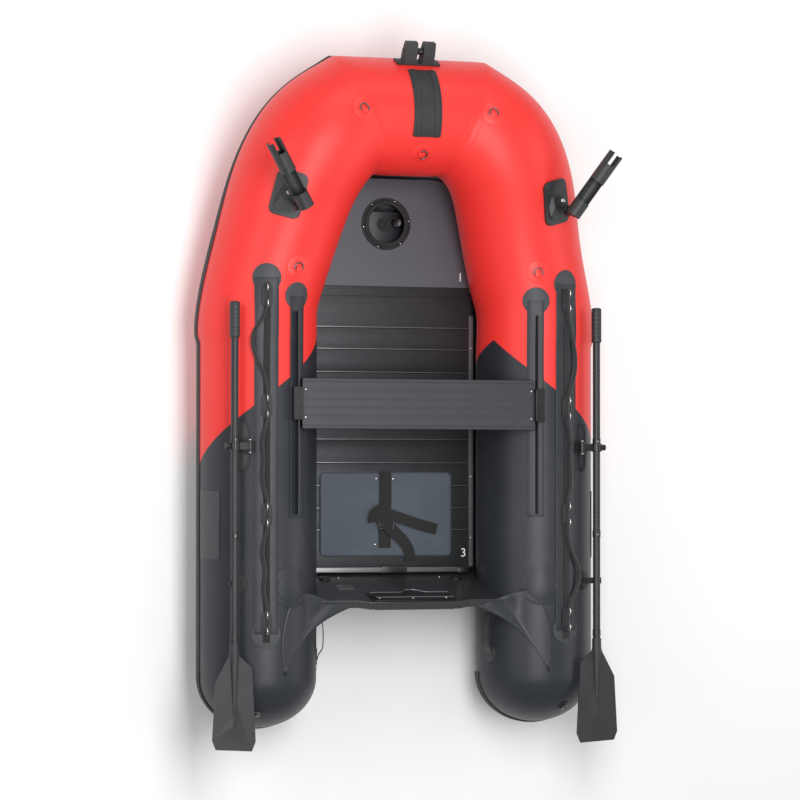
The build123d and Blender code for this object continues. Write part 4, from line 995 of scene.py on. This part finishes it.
for sideName, matrix in (("starboard", Matrix()), ("port", mirrorX)):
    shape, area = buildWebs()
    bm = bmesh.new()
    addShape(bm, shape, matrix)
    web = newPiece("transom_web_" + sideName, bm, darkCloth, sharp=80,
                   replaced=("transom_webs",) if sideName == "starboard" else ())
    addModifier(web, "SOLIDIFY", thickness=0.0014, offset=0.0)
roundPlace, roundNormal = skinAbove(0.487, -0.70)
glued("transom_rounds", [roundPatch(roundPlace, roundNormal, 0.075)], darkCloth, (), 0.0018)
glued("transom_round_tops", [roundPatch(roundPlace, roundNormal, 0.055, 0.002)], darkCloth, (), 0.0014)
print("webs made")

# Carrying handles inside the stern and the plain patches outside
handleNodes = ("stern_handles",)
handle = bmesh.new()
centre = Vector((0.545, 0, 0.215))
lift = [(-0.795, 0.001), (-0.815, 0.004), (-0.830, 0.020), (-0.860, 0.023), (-0.900, 0.023), (-0.930, 0.020), (-0.946, 0.004), (-0.966, 0.001)]
inwards = Vector((math.sin(math.radians(-72)), 0, math.cos(math.radians(-72))))
points = [centre + Vector((0, y, 0)) + inwards * (0.215 + h) for y, h in lift]
addShape(handle, ribbon([tuple(p) for p in points], 0.038, 0.0022, normals=lambda s: inwards))
mirrorShape(handle)
newPiece("stern_handle_loops", handle, webbing, replaced=handleNodes)
shapes = []
for y in (-0.806, -0.955):
    place, normal = skinPoint(centre + Vector((0, y, 0)), inwards)
    shapes.append(roundPatch(place, normal, 0.030))
glued("stern_handle_patches", shapes, patchCloth, (), 0.0014)
sidePatch = bmesh.new()
bmesh.ops.create_grid(sidePatch, x_segments=12, y_segments=12, size=0.5)
for vert in sidePatch.verts:
    angle = math.radians(75 + 34 * vert.co.x)
    place, normal = skinPoint((0.545, -0.4775 + 0.245 * vert.co.y, 0.215), (math.sin(angle), 0, math.cos(angle)))
    vert.co = place + normal * 0.0004
glued("side_patch_blanks", [sidePatch], patchCloth, ("side_patches",), 0.0016)

# Bow strip, roller bracket and roller
refined("bow_strip", softRubber, edge=0.0016, angle=40)
refined("bow_roller_bracket", softRubber, edge=0.004, segments=3, angle=40)
refined("bow_roller", blackPlastic, "bow_roller", edge=0.001)

# Seat bench with ribbed edges, end caps and shoes
seat = {"width": 0.906, "depth": 0.182, "thick": 0.020, "low": 0.421, "y": -0.040}
halfDepth, top = seat["depth"] / 2, seat["thick"] / 2
section = [(-halfDepth, -top + 0.003), (-halfDepth, top - 0.004), (-halfDepth + 0.001, top - 0.001), (-halfDepth + 0.004, top),
           (-halfDepth + 0.010, top), (-halfDepth + 0.011, top - 0.0012), (-halfDepth + 0.013, top - 0.0012), (-halfDepth + 0.014, top)]
ribs = [-0.045, -0.015, 0.015, 0.045]
for r in ribs:
    section += [(r - 0.0016, top), (r, top - 0.0005), (r + 0.0016, top)]
section += [(-y, z) for y, z in reversed(section[:8])]
section += [(halfDepth - 0.003, -top), (-halfDepth + 0.003, -top)]
bm = bmesh.new()
ends = [Matrix(((0, 0, 1, x), (1, 0, 0, seat["y"]), (0, 1, 0, seat["low"] + top), (0, 0, 0, 1))) for x in (-0.450, -0.15, 0.15, 0.450)]
loops = loftLoops(bm, [(y, z, 0) for y, z in section], ends)
for loop in (loops[0], loops[-1]):
    bmesh.ops.edgeloop_fill(bm, edges=loop)
bmesh.ops.recalc_face_normals(bm, faces=bm.faces)
newPiece("seat_plank", bm, seatMetal, "seat", sharp=25, replaced=("seat_bench",))
caps = bmesh.new()
for x in (-0.4495, 0.4495):
    addShape(caps, block((0.007, 0.1815, 0.0195), 0.0022), Matrix.Translation((x, seat["y"], seat["low"] + top)))
newPiece("seat_end_caps", caps, blackPlastic, "seat")
refined("seat_shoes", blackPlastic, "seat", edge=0.002)
rivets = bmesh.new()
for x in (-0.44, 0.44):
    for y in (-0.09, 0.01):
        addShape(rivets, dome, Matrix.Translation((x, seat["y"] + y + 0.04, seat["low"] + 2 * top)) @ Matrix.Diagonal((1, 1, 0.5, 1)))
newPiece("seat_rivets", rivets, steel, "seat")
print("seat made")

# Oars, oarlocks and clips
for sideName, sign in (("port", -1), ("starboard", 1)):
    body = "oar_" + sideName
    refined("oar_blade_" + sideName, oarPlastic, body, edge=0.0018, angle=25)
    refined("oar_loom_" + sideName, oarMetal, body, edge=0.0006)
    refined("oarlock_collar_" + sideName, blackPlastic, body, edge=0.0012)
    bm = bmesh.new()
    profile = [(0, 0.0), (0.010, 0.0005), (0.0165, 0.003), (0.0185, 0.007)]
    for rib in range(7):
        z = 0.012 + rib * 0.016
        profile += [(0.0185, z), (0.0176, z + 0.0012), (0.0176, z + 0.0028), (0.0185, z + 0.004)]
    profile += [(0.0185, 0.126), (0.0175, 0.1285), (0.0136, 0.130)]
    addShape(bm, lathe(profile, 36), frameAt((sign * 0.706, 0.323, 0.430), (0, -1, 0), (0, 0, 1)))
    newPiece("oar_grip_ribbed_" + sideName, bm, oarPlastic, body, replaced=("oar_grip_" + sideName,))
    bm = bmesh.new()
    sleeve = lathe([(0.0136, 0), (0.0150, 0.001), (0.0150, 0.024), (0.0136, 0.025)], 32)
    for y in (-0.160, -0.5, -0.865):
        addShape(bm, sleeve, frameAt((sign * 0.706, y, 0.430), (0, -1, 0), (0, 0, 1)))
    newPiece("oar_sleeves_" + sideName, bm, blackPlastic, body)
    bm = bmesh.new()
    for y, size in ((-0.515, 1.0), (-0.995, 1.3), (-0.172, 1.0)):
        level = 0.443 if y > -0.9 else 0.4395
        addShape(bm, dome, Matrix.Translation((sign * 0.706, y, level)) @ Matrix.Scale(size, 4))
    newPiece("oar_buttons_" + sideName, bm, steel, body)
    bm = bmesh.new()
    knob = lathe([(0, 0.018), (0.006, 0.018), (0.0095, 0.016), (0.011, 0.012), (0.011, 0.004), (0.0085, 0.001), (0.006, 0), (0.006, -0.004)], 20)
    addShape(bm, knob, frameAt((sign * 0.7235, -0.194, 0.430), (sign, 0, 0), (0, 0, 1)))
    newPiece("oarlock_knob_" + sideName, bm, softRubber, body)
refined("oar_clips", softRubber, edge=0.0012)


def buildLockBases():
    # a long ribbed rubber dome on the tube with the hinge ears in its middle
    bm = bmesh.new()
    angle = math.radians(33)
    normal = Vector((math.sin(angle), 0, math.cos(angle)))
    matrix = frameAt(Vector((0.545, -0.194, 0.215)) + normal * 0.214, normal)
    for end in (-1, 1):
        part = bmesh.new()
        bmesh.ops.create_uvsphere(part, u_segments=36, v_segments=20, radius=1,
                                  matrix=Matrix.Translation((end * 0.046, 0, 0)) @ Matrix.Diagonal((0.040, 0.0215, 0.0135, 1)))
        for vert in part.verts:
            vert.co.z += 0.0008 * math.cos(vert.co.y * 900) if vert.co.z > 0.004 else 0
        addShape(bm, part, matrix)
    addShape(bm, plate(roundedOutline(0.175, 0.050, 0.0248), 0.0035, 0.0012), matrix)
    addShape(bm, block((0.030, 0.047, 0.020), 0.004, 3), matrix @ Matrix.Translation((0, 0, 0.003)))
    mirrorShape(bm)
    return newPiece("oarlock_rubber_bases", bm, softRubber, sharp=50)


buildLockBases()
refined("oarlock_bases", softRubber, edge=0.0012)
bm = bmesh.new()
for y in (-0.2165, -0.1715):
    addShape(bm, lathe([(0, 0.003), (0.004, 0.003), (0.0062, 0.0012), (0.0062, 0)], 16), frameAt((0.648, y, 0.430), (0, 1 if y > -0.19 else -1, 0), (0, 0, 1)))
mirrorShape(bm)
newPiece("oarlock_pins", bm, steel)
print("oars and locks made")

# Rod holders
joints = {j["name"]: j for j in frame["joints"]}
refined("rod_holder_bases", greyPlastic, edge=0.0022, segments=3, angle=30)
for sideName in ("port", "starboard"):
    neck, cradle = "rod_neck_" + sideName, "rod_cradle_" + sideName
    refined("rod_holder_neck_" + sideName, greyPlastic, neck, edge=0.0014)
    refined("rod_holder_cradle_" + sideName, greyPlastic, cradle, edge=0.0010)
    swivel, tilt = joints["rod_swivel_" + sideName], joints["rod_tilt_" + sideName]
    top, axis = Vector(swivel["pos_m"]), Vector(swivel["axis"]).normalized()
    bm = bmesh.new()
    nut = lathe([(0, 0.008), (0.007, 0.007), (0.010, 0.004), (0.011, 0)], 6)
    addShape(bm, nut, frameAt(top + axis * 0.018, axis))
    newPiece("rod_swivel_nut_" + sideName, bm, steel, neck, sharp=30)
    pin, level = Vector(tilt["pos_m"]), Vector(tilt["axis"]).normalized()
    bm = bmesh.new()
    bolt = lathe([(0, 0.006), (0.006, 0.0055), (0.0095, 0.003), (0.0105, 0)], 24)
    addShape(bm, bolt, frameAt(pin + level * 0.0185, level))
    newPiece("rod_tilt_bolt_" + sideName, bm, steel, cradle)
    bm = bmesh.new()
    for step in range(12):
        turn = Matrix.Rotation(math.tau * step / 12, 4, "Z")
        addShape(bm, block((0.005, 0.003, 0.0115), 0.001), frameAt(pin - level * 0.0246, level) @ turn @ Matrix.Translation((0.0128, 0, 0)))
    newPiece("rod_knob_ribs_" + sideName, bm, blackPlastic, cradle)
print("rod holders made")

# Floor, light and surroundings
stageMesh = bpy.data.meshes.new("studioFloor")
bm = bmesh.new()
bmesh.ops.create_grid(bm, x_segments=1, y_segments=1, size=30, matrix=Matrix.Translation((0, 0, -0.0005)))
bm.to_mesh(stageMesh)
bm.free()
stagePaint = makeMaterial("stagePaint", (0.92, 0.92, 0.92), 0.85, dust=0.0, level=0.1)
stageMesh.materials.append(stagePaint)
studioFloor = bpy.data.objects.new("studioFloor", stageMesh)
scene.collection.objects.link(studioFloor)

world = bpy.data.worlds.new("studioWorld")
world.use_nodes = True
world.node_tree.nodes["Background"].inputs[0].default_value = (1, 1, 1, 1)
world.node_tree.nodes["Background"].inputs[1].default_value = 0.42
scene.world = world
lamps = [
    ("overheadSoft", (-0.6, 0.1, 4.4), (0, -0.12, 0), (1.5, 3.6), 130),
    ("portSoft", (-3.6, 0.6, 3.0), (0, -0.88, 0), (1.4, 4.0), 50),
    ("starboardSoft", (3.8, 0.2, 2.8), (0, 0.92, 0), (1.4, 4.0), 42),
    ("bowSoft", (0.2, 4.2, 3.0), (-0.95, 0, 0), (3.0, 1.2), 35),
]
for name, place, turn, size, power in lamps:
    light = bpy.data.lights.new(name, "AREA")
    light.shape = "RECTANGLE"
    light.size, light.size_y = size
    light.energy = power
    lamp = bpy.data.objects.new(name, light)
    lamp.location = place
    lamp.rotation_euler = turn
    scene.collection.objects.link(lamp)
print("studio lit")
